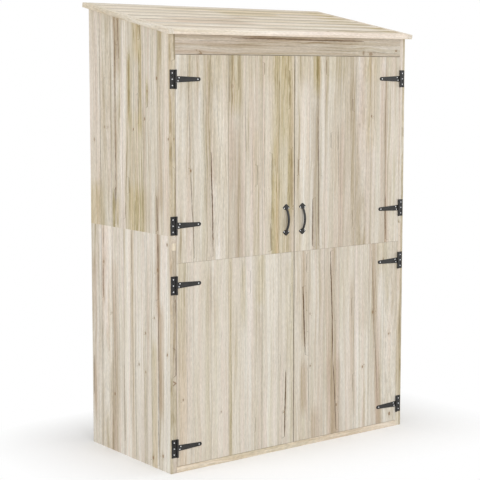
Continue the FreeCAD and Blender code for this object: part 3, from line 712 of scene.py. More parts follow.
# %% Door boards
DOOR_LOOKS = {
    "upper_left_door": dict(
        seed=11, calm=0.05, tone=(0.985, 0.15, 0.02), joints=1.3, streaks_often=0.5,
        streaks=spots(
            (63, 52, 335, 737, 2, 0.42), (80, 63, 0, 340, 2.2, 0.62), (132, 117, 137, 660, 2, 0.34),
            (162, 154, 0, 402, 2.4, 1), (187, 179, 437, 657, 1.8, 0.35),
            (312, 305, 380, 600, 1.8, 0.35), (364, 255, 345, 4, 0.42), (397, 665, 720, 3.5, 0.55),
            (517, 516, 540, 690, 4, 0.66), (434, 235, 380, 4.5, 0.52), (430, 432, 120, 235, 4, 0.42),
            (431, 429, 0, 112, 7, 0.5), (530, 525, 160, 390, 4.5, 0.5), (237, 560, 737, 3, 0.4),
            (277, 278, 600, 737, 4, 0.45), (205, 210, 0, 300, 1.6, 0.25),
            (345, 338, 100, 480, 1.6, 0.25), (395, 398, 60, 560, 1.8, 0.3)),
        knots=spots((64, 327, 3.2, 0.9), (250, 626, 5, 0.35), (162, 76, 2.6, 0.5)),
        stains=spots(
            (285, 256, -90, 480, 31, -0.35), (264, 262, 540, 840, 26, 0.6),
            (470, 488, -90, 840, 58, 0.42), (450, 447, -90, 300, 18, 0.45),
            (447, 450, 330, 430, 14, 0.35), (525, 522, 120, 400, 16, 0.4), (500, 420, 840, 42, 0.3),
            (360, 358, -90, 460, 14, 0.28), (130, 620, 900, 100, 0.18), (400, 640, 900, 90, 0.2),
            (140, 400, 840, 18, 0.15)),
        pales=spots(
            (285, 252, -90, 840, 30, -0.055), (105, 480, 900, 100, -0.02), (33, -90, 600, 15, 0.03),
            (98, 90, -90, 840, 14, 0.015), (196, 203, -90, 840, 21, 0.05),
            (330, 304, -90, 840, 18, 0.055), (398, -90, 600, 20, 0.02), (488, -90, 340, 16, 0.03))),
    "upper_right_door": dict(
        seed=24, calm=0.05, tone=(0.985, 0.2, 0.02), joints=1.3, streaks_often=0.5,
        streaks=spots(
            (418, 427, 0, 640, 3.6, 0.6), (428, 430, 640, 737, 5, 0.55), (450, 0, 200, 2.4, 0.95),
            (385, 665, 725, 3, 0.5), (360, 385, 450, 3, 0.45), (318, 325, 230, 490, 3, 0.35),
            (248, 515, 580, 3, 0.4), (244, 247, 65, 140, 3, 0.4), (135, 134, 380, 737, 2, 0.3),
            (67, 72, 10, 200, 2.6, 1), (72, 76, 200, 580, 3, 0.3), (522, 285, 360, 3.5, 0.45),
            (285, 290, 100, 700, 1.6, 0.25), (180, 176, 0, 420, 1.6, 0.25)),
        knots=spots((150, 505, 3, 0.8), (212, 470, 6, 0.2)),
        stains=spots(
            (434, -90, 540, 21, -0.4), (432, 600, 900, 19, 0.8), (76, 80, -90, 700, 17, -0.55),
            (305, -90, 480, 17, -0.4), (235, -90, 737, 42, -0.28), (150, 380, 840, 30, 0.32),
            (270, 650, 900, 250, 0.22), (500, 650, 900, 30, 0.25)),
        pales=spots(
            (434, -90, 900, 20, -0.075), (497, -90, 620, 33, 0.055), (398, -90, 640, 12, 0.035),
            (28, -90, 640, 27, 0.05), (103, -90, 500, 13, 0.02))),
    "lower_left_door": dict(
        seed=37, tone=(1, 0.5, 0), joints=0.7, streaks_often=0.3, calm=0.3,
        streaks=spots(
            (152, 151, 540, 715, 2, 0.3), (244, 240, 20, 726, 2.4, 0.45),
            (294, 296, 610, 726, 2.4, 0.3), (332, 333, 590, 690, 2.4, 0.32), (387, 0, 480, 1.6, 0.28),
            (522, 470, 620, 2, 0.4), (498, 502, 16, 290, 3, 1), (503, 506, 290, 410, 1.8, 0.3),
            (355, 60, 130, 3, 0.32), (46, 44, 100, 700, 1.6, 0.25)),
        knots=spots((497, 124, 2.6, 0.8), (27, 241, 3, 0.8), (197, 171, 2.6, 0.5)),
        stains=spots(
            (25, -90, 840, 19, 0.42), (241, 238, -90, 840, 8, 0.45), (380, 545, 840, 20, 0.42),
            (366, 372, -90, 545, 20, -0.3), (300, 480, 700, 12, 0.3), (532, -90, 840, 8, 0.28),
            (518, 300, 700, 16, 0.18), (155, 152, 520, 700, 24, -0.18)),
        pales=spots(
            (150, -90, 840, 78, 0.015), (268, 262, -90, 840, 16, 0.03), (330, -90, 840, 22, 0.03),
            (430, 432, -90, 840, 24, 0.045), (437, -90, 260, 26, 0.03))),
    "lower_right_door": dict(
        seed=45, tone=(1, 0.36, 0), streaks_often=0.5, calm=0.15,
        streaks=spots(
            (482, 498, 326, 610, 3.4, 1), (478, 650, 736, 2, 0.5), (342, 358, 300, 736, 3, 1),
            (322, 342, 0, 300, 3, 0.75), (100, 142, 60, 716, 4, 0.36), (245, 455, 540, 3, 0.32),
            (236, 238, 150, 230, 3, 0.34), (460, 472, 60, 300, 2, 0.3), (60, 80, 420, 1.6, 0.25),
            (200, 206, 0, 500, 1.6, 0.25)),
        knots=spots(
            (132, 461, 4.5, 0.95), (185, 246, 3.4, 0.8), (43, 363, 3.2, 0.7), (35, 31, 4.4, 0.85),
            (75, 671, 3.4, 0.7), (458, 286, 3.2, 0.75), (460, 491, 3, 0.5), (322, 112, 4.5, 0.6)),
        stains=spots(
            (488, 487, 380, 840, 20, -0.55), (492, 110, 310, 18, -0.8), (440, -90, 110, 24, -0.55),
            (345, 300, 840, 22, -0.42), (316, 338, -90, 300, 32, -0.65), (232, 245, 60, 600, 11, -0.55),
            (90, 140, -90, 800, 16, -0.75), (87, 620, 840, 24, 0.32)),
        pales=spots(
            (520, -90, 840, 16, 0.03), (430, 120, 740, 16, 0.03), (190, -90, 400, 34, 0.055),
            (268, 262, -90, 840, 14, 0.03), (48, 60, -90, 560, 40, 0.05), (302, 280, 560, 9, 0.03))),
}
# Every door reaches down a little and the lower ones up too, so that only a thin line is left
DOOR_CLOSER = 0.7 * MM
DARK_EDGE = spots((540, -60, 800, 1.6, 0.55))
for body, sign in DOORS.items():
    low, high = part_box(f"{body}_boards")
    look = DOOR_LOOKS[body] | {"streaks": DOOR_LOOKS[body]["streaks"] + DARK_EDGE}
    top = high.z - low.z + DOOR_CLOSER * body.startswith("lower")
    boarded(f"{body}_boards", body, (low.x if sign > 0 else high.x, FRONT, low.z), (X * sign, Y, Z),
            high.x - low.x, BOARD_THICKNESS, -DOOR_CLOSER, top, look)
print("four boarded doors")

# %% [markdown]
# The side walls use the same function with other directions: across runs forward from the back,
# depth runs inwards. In the upper tier the boards end at the roof, so their length is a function.

# %% Side walls
SIDE_LOOKS = {
    "lower": dict(
        seed=52, tone=(1, 0.5, 0), joints=1.8, streaks_often=0.7,
        streaks=spots(
            (88, 770, 862, 2.6, 0.5), (84, 86, 580, 712, 2.8, 0.86), (80, 290, 510, 2.6, 0.42),
            (10, 12, 190, 350, 4.5, 0.5), (287, 288, 690, 862, 3, 0.45), (232, 50, 350, 3, 0.48),
            (308, 0, 520, 2.2, 0.4), (461, 465, 0, 600, 3.6, 0.62), (463, 620, 862, 4.5, 0.66),
            (165, 170, 0, 640, 2.4, 0.35), (275, 100, 700, 2, 0.32), (380, 378, 0, 850, 2, 0.32),
            (512, 515, 0, 862, 2, 0.28), (200, 201, 300, 862, 2, 0.3), (420, 418, 0, 862, 2.2, 0.3),
            (55, 400, 862, 2.2, 0.3)),
        knots=spots(
            (90, 722, 4, 0.8), (145, 532, 2.6, 0.7), (162, 222, 4, 0.8), (378, 490, 3.6, 0.7),
            (333, 366, 4, 0.7), (378, 345, 3.4, 0.6), (424, 34, 4.6, 0.85), (489, 55, 4.6, 0.85),
            (437, 555, 3.2, 0.7), (462, 732, 6, 0.9), (520, 433, 3.2, 0.8), (522, 830, 3.6, 0.8)),
        stains=spots(
            (18, 100, 740, 16, -0.5), (14, 150, 330, 14, -0.5), (88, 560, 960, 8, -0.5),
            (168, -90, 720, 22, -0.55), (436, -90, 460, 17, 0.6), (462, 580, 960, 13, -0.95),
            (477, 200, 600, 17, -0.85), (290, -90, 960, 10, -0.4), (60, -90, 500, 18, -0.15)),
        pales=spots(
            (128, 340, 960, 23, 0.07), (122, -90, 340, 15, 0.03), (258, -90, 960, 20, 0.04),
            (206, -90, 960, 11, 0.035), (340, 300, 800, 45, 0.015), (507, 560, 960, 22, 0.07),
            (512, -90, 560, 18, 0.05), (405, 560, 960, 18, 0.02))),
    "upper": dict(
        seed=61, tone=(0.995, 0.32, 0.02), joints=1.8, streaks_often=0.7,
        streaks=spots(
            (183, 181, 60, 778, 3.2, 0.78), (207, 206, 620, 778, 3, 0.7), (75, 0, 800, 2.2, 0.42),
            (278, 276, 430, 643, 4.5, 0.62), (344, 346, 390, 660, 4.5, 0.55), (352, 690, 750, 5, 0.6),
            (400, 440, 540, 4, 0.55), (275, 130, 200, 4, 0.5), (103, 430, 570, 2.4, 0.42),
            (247, 30, 100, 4, 0.42), (463, 458, 0, 140, 4.5, 0.55), (177, 172, 0, 150, 9, 0.35),
            (485, 450, 740, 3.4, 0.3), (372, 0, 720, 2.4, 0.4), (425, 300, 720, 2, 0.32),
            (300, 0, 350, 2.4, 0.32), (330, 328, 0, 500, 2.4, 0.32), (500, 0, 600, 2, 0.3),
            (150, 300, 770, 2.2, 0.3), (120, 121, 300, 780, 2, 0.26), (45, 44, 200, 790, 2, 0.26)),
        knots=spots(
            (462, 555, 4, 0.85), (400, 510, 4, 0.7), (307, 370, 3.6, 0.85), (383, 410, 3.6, 0.75),
            (533, 343, 3.4, 0.9), (30, 323, 4, 0.5), (105, 373, 3.4, 0.5), (130, 373, 3.4, 0.45)),
        stains=spots(
            (183, 181, -90, 840, 12, -0.75), (205, 560, 900, 10, -0.85), (280, 278, 400, 650, 13, 0.75),
            (352, 360, 660, 11, 0.65), (330, 630, 900, 32, 0.75), (315, -90, 420, 55, 0.42),
            (40, -120, 150, 55, 0.6), (180, -120, 120, 20, 1.15), (330, -120, 160, 65, 0.45),
            (462, -120, 150, 14, -0.7), (480, 90, 390, 16, -0.6), (480, 590, 900, 14, 0.5),
            (398, 475, 545, 8, 0.8), (318, 400, 640, 20, 0.25)),
        pales=spots(
            (236, 240, 80, 860, 23, 0.075), (515, -90, 900, 14, 0.04), (405, 150, 640, 20, 0.03),
            (140, 200, 780, 20, 0.01))),
}
# A thin painted shade darkens the front edge, where the end of the wall meets the post: browner
# through the stain and darker through the lightness
EDGE_SHADE_BROWN = spots((540, -90, 960, 2.5, 0.45))
EDGE_SHADE = spots((540, -90, 960, 2.5, -0.06))
for tier in ("lower", "upper"):
    for side, sign in (("left", -1), ("right", 1)):
        node = f"{side}_{tier}_side_boards"
        low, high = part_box(node)
        look = dict(SIDE_LOOKS[tier])
        look["seed"] += sign > 0
        look["stains"] = look["stains"] + EDGE_SHADE_BROWN
        look["pales"] = look["pales"] + EDGE_SHADE
        top = up_to_roof(low.z, BACK, -1, 0) if tier == "upper" else high.z - low.z
        boarded(node, "carcass", (low.x if sign < 0 else high.x, BACK, low.z), (-Y, -X * sign, Z),
                BACK - FRONT, BOARD_THICKNESS, 0.0, top, look)
print("side walls")

# %% [markdown]
# The back is plain and seen from behind only, so longer steps keep its mesh light.

# %% Back wall
BACK_LOOK = dict(
    seed=76, tone=(0.98, 0.3, 0.02), knots_often=0.6, streaks_often=1.6, step=30 * MM,
    step_across=7 * MM,
    stains=spots(
        (300, 280, -90, 900, 34, -0.5), (760, 780, -90, 900, 26, -0.5), (900, -90, 300, 60, 0.45),
        (520, 530, 200, 900, 40, 0.35), (140, 150, 300, 900, 24, -0.4)),
    pales=spots(
        (220, -90, 900, 30, 0.05), (640, -90, 900, 26, 0.05), (1010, -90, 900, 28, 0.04),
        (430, -90, 900, 22, 0.03)))
for tier in ("lower", "upper"):
    node = f"back_{tier}_boards"
    low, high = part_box(node)
    top = up_to_roof(low.z, BACK, -1, 1) if tier == "upper" else high.z - low.z
    boarded(node, "carcass", (high.x, BACK, low.z), (-X, -Y, Z), high.x - low.x, BOARD_THICKNESS,
            0.0, top, BACK_LOOK)
print("back wall")

# %% [markdown]
# ## Roof
# The roof is made of thicker boards of the same kind that lie across the slope, between two
# trims. Its directions are those of the walls, tilted by the slope of the roof.

# %% Roof boards and trims
UP_SLOPE = Y * cos(ROOF_SLOPE) + Z * sin(ROOF_SLOPE)
INTO_ROOF = Y * sin(ROOF_SLOPE) - Z * cos(ROOF_SLOPE)
roof_low, roof_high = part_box("roof_boards")
roof_edge_z = roof_low.z + ROOF_THICKNESS * cos(ROOF_SLOPE)
roof_run = (roof_high.z - roof_edge_z) / sin(ROOF_SLOPE)
# Painted shade and highlight on each roof board: it darkens over 20 mm towards its far edge, and rise
# makes it lighter at its near edge
ROOF_LOOK = dict(
    seed=84, tone=(1.03, 0, 0.04), streaks_often=1, joints=2.4,
    darkened_reach=(1.5 * MM, 20 * MM), rise=0.32, knots=spots((29, 396, 4, 0.9)),
    stains=spots(
        (217, 651, 1001, 78, -0.55), (320, 531, 641, 32, -0.7), (450, 21, 611, 84, 0.5),
        (432, 70, 320, 30, -0.8), (510, 600, 830, 24, 0.4), (66, 0, 80, 16, 1.2),
        (140, 144, 0, 90, 18, 1.3), (222, 20, 120, 16, 0.8), (300, 30, 170, 22, 0.7),
        (378, 10, 150, 20, 0.8), (456, 0, 120, 20, 0.7), (535, 0, 90, 20, 0.7)),
    pales=spots((300, 820, 1171, 300, 0.02), (180, 300, 620, 60, 0.02)))
boarded("roof_boards", "carcass", (roof_high.x, roof_low.y, roof_edge_z), (UP_SLOPE, INTO_ROOF, -X),
        roof_run, ROOF_THICKNESS, 0.0, roof_high.x - roof_low.x, ROOF_LOOK)
for side, cool in (("left", 0.0), ("right", 0.2)):
    node = f"{side}_roof_trim"
    low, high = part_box(node)
    trim = member(fill_edges(eased(high.x - low.x, ROOF_THICKNESS)), (low.x, low.y, roof_edge_z),
                  (X, INTO_ROOF, UP_SLOPE), 0.0, roof_run, tone=(1.06, cool, 0.08))
    timber(node, [trim], "carcass")
print("roof run", round(roof_run, 4))

# %% [markdown]
# ## Posts, rails, shelves and doors' inner frames
# The rest of the timber is square: battens and planks with slightly eased arrises. A box from
# the CAD gives each its place, and its longest side is the direction of the grain.

# %% Square timber from the CAD boxes
FRAME_TONE = (0.97, 0.30, 0.10)
SILL_TONE = (1.22, 0.0, 0.20)
FRAME_STEP_ACROSS = 8 * MM
FRAME_STEP_ALONG = 30 * MM
WELD = 0.02 * MM


def batten(low, high, grain, top=None, **look):
    """A squared piece between two corners, with its grain along axis 0, 1 or 2."""
    low, high = np.array(low), np.array(high)
    size = high - low
    across, depth = (axis for axis in (0, 1, 2) if axis != grain)
    section = fill_edges(eased(size[across], size[depth]), FRAME_STEP_ACROSS)
    look = dict(tone=FRAME_TONE, step=FRAME_STEP_ALONG) | look
    return member(section, low, np.eye(3)[[across, depth, grain]], 0.0, top or size[grain], **look)


def corners_of(node):
    """The box of each separate solid of a CAD node, from its loose shells.

    Points closer than WELD are one. Each point then takes the lowest label among its neighbours
    until nothing changes, so that the points of one shell share a label.
    """
    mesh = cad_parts[node].data
    points = np.empty(len(mesh.vertices) * 3)
    mesh.vertices.foreach_get("co", points)
    points = points.reshape(-1, 3)
    keys = np.round(points / WELD).astype(np.int64)
    welded = np.unique(keys, axis=0, return_inverse=True)[1].ravel()
    mesh.calc_loop_triangles()
    corner = np.empty(len(mesh.loop_triangles) * 3, np.int32)
    mesh.loop_triangles.foreach_get("vertices", corner)
    triangles = welded[corner.reshape(-1, 3)]
    label = np.arange(welded.max() + 1)
    before = None
    while before is None or (label != before).any():
        before = label.copy()
        lowest = before[triangles].min(1)
        for column in triangles.T:
            np.minimum.at(label, column, lowest)
    groups = label[welded]
    return [(points[groups == g].min(0), points[groups == g].max(0)) for g in np.unique(groups)]


POST_LOOKS = {
    "left_upper_front_post": dict(
        tone=(1, 0, 0.32), knots=spots((9, 343, 3, 0.6)),
        streaks=spots((13, 12, 30, 250, 2, 0.5), (14, 610, 720, 7, 0.5))),
    "left_lower_front_post": dict(
        tone=(0.94, 0, -0.28), knots=spots((12, 330, 4, 0.9), (6, 442, 3, 0.7)),
        streaks=spots((14, 13, 330, 470, 3, 0.6), (5, 6, 560, 800, 1.6, 0.5), (16, 590, 650, 4, 0.4)),
        stains=spots((13, 60, 320, 40, 0.75))),
    "right_upper_front_post": dict(
        tone=(1.03, 0.35, 0.02), knots=spots((12, 140, 3, 0.5)),
        streaks=spots((20, 80, 300, 1.6, 0.4))),
    "right_lower_front_post": dict(
        tone=(1.1, 0.05, 0.12), knots=spots((9, 560, 3.4, 0.8)),
        streaks=spots((18, 480, 800, 1.6, 0.45)), stains=spots((13, 560, 900, 40, -0.4))),
}
# On the left the lower post's top end is a pale block of its own
BLOCK_HEIGHT = 26 * MM
BLOCK_JOINT = 0.1 * MM
for side in ("left", "right"):
    for tier in ("lower", "upper"):
        for end in ("front", "rear"):
            node = f"{side}_{tier}_{end}_post"
            low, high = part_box(node)
            top = up_to_roof(low.z, low.y, 1, 1) if tier == "upper" else None
            members = []
            if node == "left_lower_front_post":
                foot = Vector((low.x, low.y, high.z - BLOCK_HEIGHT))
                members.append(batten(foot, high, 2, tone=SILL_TONE))
                high = Vector((high.x, high.y, foot.z - BLOCK_JOINT))
            members.append(batten(low, high, 2, top, **POST_LOOKS.get(node, {})))
            timber(node, members, "carcass")
print("posts")

# %% [markdown]
# Most nodes of the frame hold several battens. They are found as separate shells of the CAD
# mesh, and each gets a tone of its own, drawn in turn from one seeded source of chance.

# %% Level rails, floor and shelves
LEVEL = {
    "bottom_front_rail": 0, "middle_front_rail": 0, "floor_boards": 0, "left_floor_bearer": 1,
    "right_floor_bearer": 1, "lower_shelf_slats": 0, "middle_shelf_slats": 0,
    "upper_shelf_slats": 0, "shelf_ties": 1,
}
rng = np.random.default_rng(5)


def some_tone(base=FRAME_TONE):
    """The base tone, a little lighter or darker and warmer or cooler each time."""
    return (base[0] * rng.normal(1, 0.025), base[1] + rng.normal(0, 0.25), base[2] * rng.uniform(0, 2))


for node, grain in LEVEL.items():
    base = SILL_TONE if node == "bottom_front_rail" else FRAME_TONE
    timber(node, [batten(*box, grain, tone=some_tone(base)) for box in corners_of(node)],
           "carcass")
for body in DOORS:
    node = f"{body}_ledges"
    timber(node, [batten(*box, 0, tone=some_tone()) for box in corners_of(node)], body)
print("rails, floor and shelves")


# %% [markdown]
# Some rails carry the slope of the roof on their upper faces, some run up the slope with plumb
# ends, and the braces of the doors run at an angle. These are sections with four given corners,
# carried along their grain.

# %% Sloping and slanting timber
def framed(section, origin, axes, low, high):
    """A piece of the frame with a section of its own."""
    return member(fill_edges(section, FRAME_STEP_ACROSS), origin, axes, low, high,
                  tone=some_tone(), step=FRAME_STEP_ALONG)


def bevelled_rail(low, high):
    """A level rail whose top follows the roof: section (z, y), grain along X."""
    depth, height = high[1] - low[1], high[2] - low[2]
    front = high[2] - depth * tan(ROOF_SLOPE) - low[2]
    return framed([(0, 0), (front, 0), (height, depth), (0, depth)], low, (Z, Y, X), 0.0,
                  high[0] - low[0])


def raking_rail(low, high):
    """A rail that runs up the slope of the roof, its ends cut plumb."""
    def plumb(run):
        return lambda section: run - section[:, 1] * tan(ROOF_SLOPE)

    height = high[2] - low[2] - (high[1] - low[1]) * tan(ROOF_SLOPE)
    run = (high[1] - low[1]) / cos(ROOF_SLOPE)
    return framed(oblong(high[0] - low[0], height * cos(ROOF_SLOPE)),
                  (low[0], low[1], low[2] + height), (X, INTO_ROOF, UP_SLOPE), plumb(0.0), plumb(run))


timber("top_front_rail", [bevelled_rail(*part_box("top_front_rail"))], "carcass")

frieze = bevelled_rail(*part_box("frieze_board"))
# The first streak and the first stain, near the top of the face, are painted shadow of the roof's
# overhang
frieze.update(
    tone=(0.94, 0.1, -0.32), step=STEP_ALONG, section=fill_edges(frieze["section"], 3 * MM),
    streaks=spots(
        (61, 56, 240, 900, 3.4, 0.70), (46, 50, 60, 420, 1.8, 0.35), (22, 12, 640, 1080, 1.8, 0.35),
        (36, 30, 200, 900, 1.6, 0.30)),
    knots=spots(
        (3, 109, 5, 0.8), (14, 92, 2.5, 0.45), (12, 898, 11, 0.6), (8, 926, 6, 0.6),
        (22, 1062, 3.4, 0.8)),
    stains=spots((60, 58, 300, 860, 12, -0.6), (22, 16, -60, 900, 16, -0.25)),
    pales=spots((50, 44, -60, 420, 9, 0.03), (26, 34, 420, 1140, 9, 0.03)))
timber("frieze_board", [frieze], "carcass")

timber("back_rails", [bevelled_rail(*box) if box[1][2] > EAVES else batten(*box, 0, tone=some_tone())
                      for box in corners_of("back_rails")], "carcass")
for side in ("left", "right"):
    for tier in ("lower", "upper"):
        node = f"{side}_{tier}_side_rails"
        timber(node, [raking_rail(*box) if box[1][2] > EAVES else batten(*box, 1, tone=some_tone())
                      for box in corners_of(node)], "carcass")
timber("roof_rafter", [raking_rail(*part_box("roof_rafter"))], "carcass")

BRACE_WIDTH = 50 * MM
for body, sign in DOORS.items():
    low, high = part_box(f"{body}_brace")
    foot = (low.x if sign > 0 else high.x, low.y, low.z)
    lean = (high.x - low.x - BRACE_WIDTH) / (high.z - low.z)
    brace = framed(oblong(BRACE_WIDTH, high.y - low.y), foot,
                   (X * sign, Y, np.array([sign * lean, 0, 1])), 0.0, high.z - low.z)
    timber(f"{body}_brace", [brace], body)
print("sloping and slanting timber")

# %% [markdown]
# ## T hinges
# Each hinge is stamped from black steel: an upright plate with two knuckles rolled at its edge,
# and a tapered strap whose own knuckle turns between them on a pin. The edges of stamped sheet
# fall away softly, and in the photograph they look blacker than the flat metal, so every plate
# is built as rings that step inwards from its outline, and an attribute, rim, paints shade
# on the edge.

# %% Metal materials
CHARCOAL = linear(46, 45, 44)
DULL_CHARCOAL = linear(37, 36, 34)
RIM_SHADE_BLACK = linear(17, 15, 13)

coated, n = new_material("black_powder_coat")
peel = n.noise(n.object_place(), 900)
patches = n.noise(n.object_place(), 45)
coat = n.mix(n.spread(patches, 0.35, 0.65), DULL_CHARCOAL, CHARCOAL)
# Painted shade: rim darkens the falling edges of plates and feet towards black
coat = n.mix(n.spread(n.attribute("rim")[0], 0, 1, 0, 0.92), coat, RIM_SHADE_BLACK)
n.surface(Base_Color=coat, Roughness=n.spread(peel, 0.3, 0.7, 0.40, 0.56), Specular_IOR_Level=0.4,
          Normal=n.bump(peel, 0.25, 0.0002))

zinc, n = new_material("bright_zinc_screw")
scuffs = n.noise(n.object_place(), 1400)
bright = n.mix(n.spread(scuffs, 0.3, 0.7), linear(214, 216, 220), linear(236, 236, 234))
n.surface(Base_Color=bright, Metallic=0.75, Roughness=n.spread(scuffs, 0.3, 0.7, 0.28, 0.42))
print("metal materials")

# %% [markdown]
# Metal parts are stacks of rings. A ring is a closed loop of points, and neighbouring rings of
# the same count are joined by quads. A plate's rings shrink towards its middle, a knuckle's
# climb its axis, and a handle's follow an arc.


# %% Outlines and rings
def arc(centre, radius, start, end, count):
    """Points of an arc about a centre, its ends included."""
    angle = np.linspace(start, end, count)
    return np.asarray(centre) + radius * np.stack([np.cos(angle), np.sin(angle)], 1)


def soften(corners, radii, count=7):
    """A convex outline whose corners are rounded.

    At a corner with half angle h, an arc of radius r starts r / tan(h) along both edges.
    """
    corners = np.asarray(corners, float)
    stretches = []
    for before, corner, after, radius in zip(np.roll(corners, 1, 0), corners, np.roll(corners, -1, 0),
                                             np.broadcast_to(radii, len(corners))):
        back = (before - corner) / np.linalg.norm(before - corner)
        on = (after - corner) / np.linalg.norm(after - corner)
        middle = (back + on) / np.linalg.norm(back + on)
        half = np.arccos(np.clip(back @ middle, -1, 1))
        centre = corner + middle * radius / sin(half)
        first = corner + back * radius / tan(half) - centre
        start = np.arctan2(first[1], first[0])
        angle = start + np.linspace(0, pi - 2 * half, count)
        stretches.append(centre + radius * np.stack([np.cos(angle), np.sin(angle)], 1))
    return np.concatenate(stretches)


def rounded_box(left, foot, right, top, radius):
    """A rounded outline between two uprights and two levels."""
    return soften([(left, foot), (right, foot), (right, top), (left, top)], radius)


def inward(outline, distance):
    """An outline that runs the other way of the clock from above, moved in by a distance."""
    edge = np.roll(outline, -1, 0) - outline
    normal = np.stack([-edge[:, 1], edge[:, 0]], 1) / np.linalg.norm(edge, axis=1)[:, None]
    before = np.roll(normal, 1, 0)
    return outline + distance * (before + normal) / (1 + (before * normal).sum(1))[:, None]


def standing(outline, y):
    """An outline drawn in x and z, at a depth y."""
    return np.stack([outline[:, 0], np.full(len(outline), y), outline[:, 1]], 1)


def ringed(rings):
    """Faces between rings of equal count, given as (points, rim) pairs, with both ends closed."""
    count = len(rings[0][0])
    start = np.arange(len(rings) - 1)[:, None] * count + np.arange(count)
    after = np.arange(len(rings) - 1)[:, None] * count + (np.arange(count) + 1) % count
    faces = np.stack([start, after, after + count, start + count], -1).reshape(-1, 4).tolist()
    faces.append(list(range((len(rings) - 1) * count, len(rings) * count)))
    faces.append(list(range(count))[::-1])
    points = np.concatenate([ring for ring, _ in rings])
    rim = np.concatenate([np.full(len(ring), dark) for ring, dark in rings])
    return points, faces, rim


# %% [markdown]
# A plate steps inwards from its outline while its face comes up to its full thickness. A turned
# part is one circle after another along an upright axis.

# %% Plates and turned parts
EDGE_FALL = 0.7 * MM
RIM_WIDTH = 1.9 * MM
# A plate's rings: distance in from its outline, share of the edge's fall, painted edge shade
PLATE_RINGS = ((0, 1, 1.0), (0.35 * MM, 0.45, 1.0), (0.5 * RIM_WIDTH, 0.12, 0.8), (RIM_WIDTH, 0, 0.25),
               (RIM_WIDTH + 0.8 * MM, 0, 0.0))
SEAM_DEPTH = 0.5 * MM
SEAM_WIDTH = 0.16
SEAM_FROM_RADIUS = 2 * MM
LEAST_RADIUS = 0.02 * MM
# Knuckles and pins are darkened a little all over through the same attribute
TURNED_RIM = 0.15


def stamped(outline, back, thickness):
    """A sheet-metal plate on a face at depth back: rings from its outline in to its flat."""
    face = back - thickness
    rings = [(standing(outline, back), 1.0)]
    for distance, fallen, dark in PLATE_RINGS:
        rings.append((standing(inward(outline, distance), face + fallen * EDGE_FALL), dark))
    return ringed(rings)


def turned(profile, centre_x, centre_y, around=28, seam=None):
    """A profile of (radius, z) pairs turned about an upright axis.

    A seam at an angle is a groove: r falls by SEAM_DEPTH exp(-((angle - seam) / SEAM_WIDTH)^2).
    """
    angle = np.arange(around) / around * 2 * pi
    groove = 0.0
    if seam is not None:
        away = (angle - seam + pi) % (2 * pi) - pi
        groove = SEAM_DEPTH * np.exp(-(away / SEAM_WIDTH) ** 2)
    rings = []
    for radius, z in profile:
        held = np.maximum(radius - groove * (radius > SEAM_FROM_RADIUS), LEAST_RADIUS)
        ring = np.stack([centre_x + held * np.cos(angle), centre_y + held * np.sin(angle),
                         np.full(around, z)], 1)
        rings.append((ring, TURNED_RIM))
    return ringed(rings)


def metalwork(name, parts, body, nodes=(), material=coated, sharp=38):
    """Parts of (points, faces, rim) as one piece, smooth but for its sharp edges."""
    faces, count = [], 0
    for own_points, own_faces, _ in parts:
        faces += [[i + count for i in face] for face in own_faces]
        count += len(own_points)
    piece = new_piece(name, np.concatenate([part[0] for part in parts]), faces, material, smooth=True)
    piece.data.set_sharp_from_angle(angle=radians(sharp))
    carry(piece, "rim", np.repeat(np.concatenate([part[2] for part in parts]), 3))
    finish_piece(piece, body, nodes)


# %% [markdown]
# The screws have low domed heads with a cross. Bright zinc in a white studio shows as small
# white dots, three on each plate, two staggered at the root of each strap and one at its tip.

# %% Screws
SCREW_RADIUS = 2.35 * MM
SCREW_RISE = 0.9 * MM
CROSS_HALF_WIDTH = 0.5 * MM
CROSS_REACH = 1.7 * MM
CROSS_DEPTH = 0.6 * MM


def screw_head(x, face, z, turn):
    """A domed head: rise (1 - (r / R)^2.6)^0.5, less the cross that is sunk in it."""
    around, rings = 32, 9
    angle = np.arange(around) / around * 2 * pi
    made = []
    for share in np.linspace(1, 0.06, rings) ** 0.8:
        radius = share * SCREW_RADIUS
        a, b = radius * np.cos(angle), radius * np.sin(angle)
        across = np.minimum(np.abs(a), np.abs(b))
        cross = np.exp(-(across / CROSS_HALF_WIDTH) ** 2) * (radius < CROSS_REACH)
        out = SCREW_RISE * np.sqrt(1 - share ** 2.6) - CROSS_DEPTH * cross
        ring = np.stack([x + a * cos(turn) - b * sin(turn), face - out,
                         z + a * sin(turn) + b * cos(turn)], 1)
        made.append((ring, 0.0))
    return ringed(made)


def screws(name, places, body):
    """Screw heads at (x, face, z) places, each turned by chance."""
    rng = np.random.default_rng(len(places) + len(name))
    heads = [screw_head(*place, rng.uniform(0, pi / 2)) for place in places]
    metalwork(name, heads, body, material=zinc, sharp=50)


# %% [markdown]
# On the frame's side a hinge is a leaf with two knuckles and a pin. The strap's own knuckle fills
# the space between them, with a hair's breadth to spare above and below.

# %% Hinge plates
METAL = 1.8 * MM
BARREL = 3.8 * MM
BARREL_SOFT = 0.5 * MM
PIN = 1.6 * MM
PIN_STANDS_OUT = 0.7 * MM
LEAF_GAP = 1.0 * MM
LEAF_CORNER = 1.2 * MM
PLATE_SCREW_FROM_AXIS = 13.5 * MM
PLATE_SCREW_STEP = 22 * MM
KNUCKLE_GAP = 0.3 * MM


def knuckle(axis_x, axis_y, low, high, seam):
    """A rolled knuckle with softened ends."""
    return turned([(BARREL - BARREL_SOFT, low), (BARREL, low + BARREL_SOFT),
                   (BARREL, high - BARREL_SOFT), (BARREL - BARREL_SOFT, high)],
                  axis_x, axis_y, seam=seam)


def pin(axis_x, axis_y, low, high):
    """A pin whose ends stand out a little and taper."""
    return turned([(PIN * 0.4, low - PIN_STANDS_OUT), (PIN, low - 0.2 * MM), (PIN, high + 0.2 * MM),
                   (PIN * 0.4, high + PIN_STANDS_OUT)], axis_x, axis_y, 16)


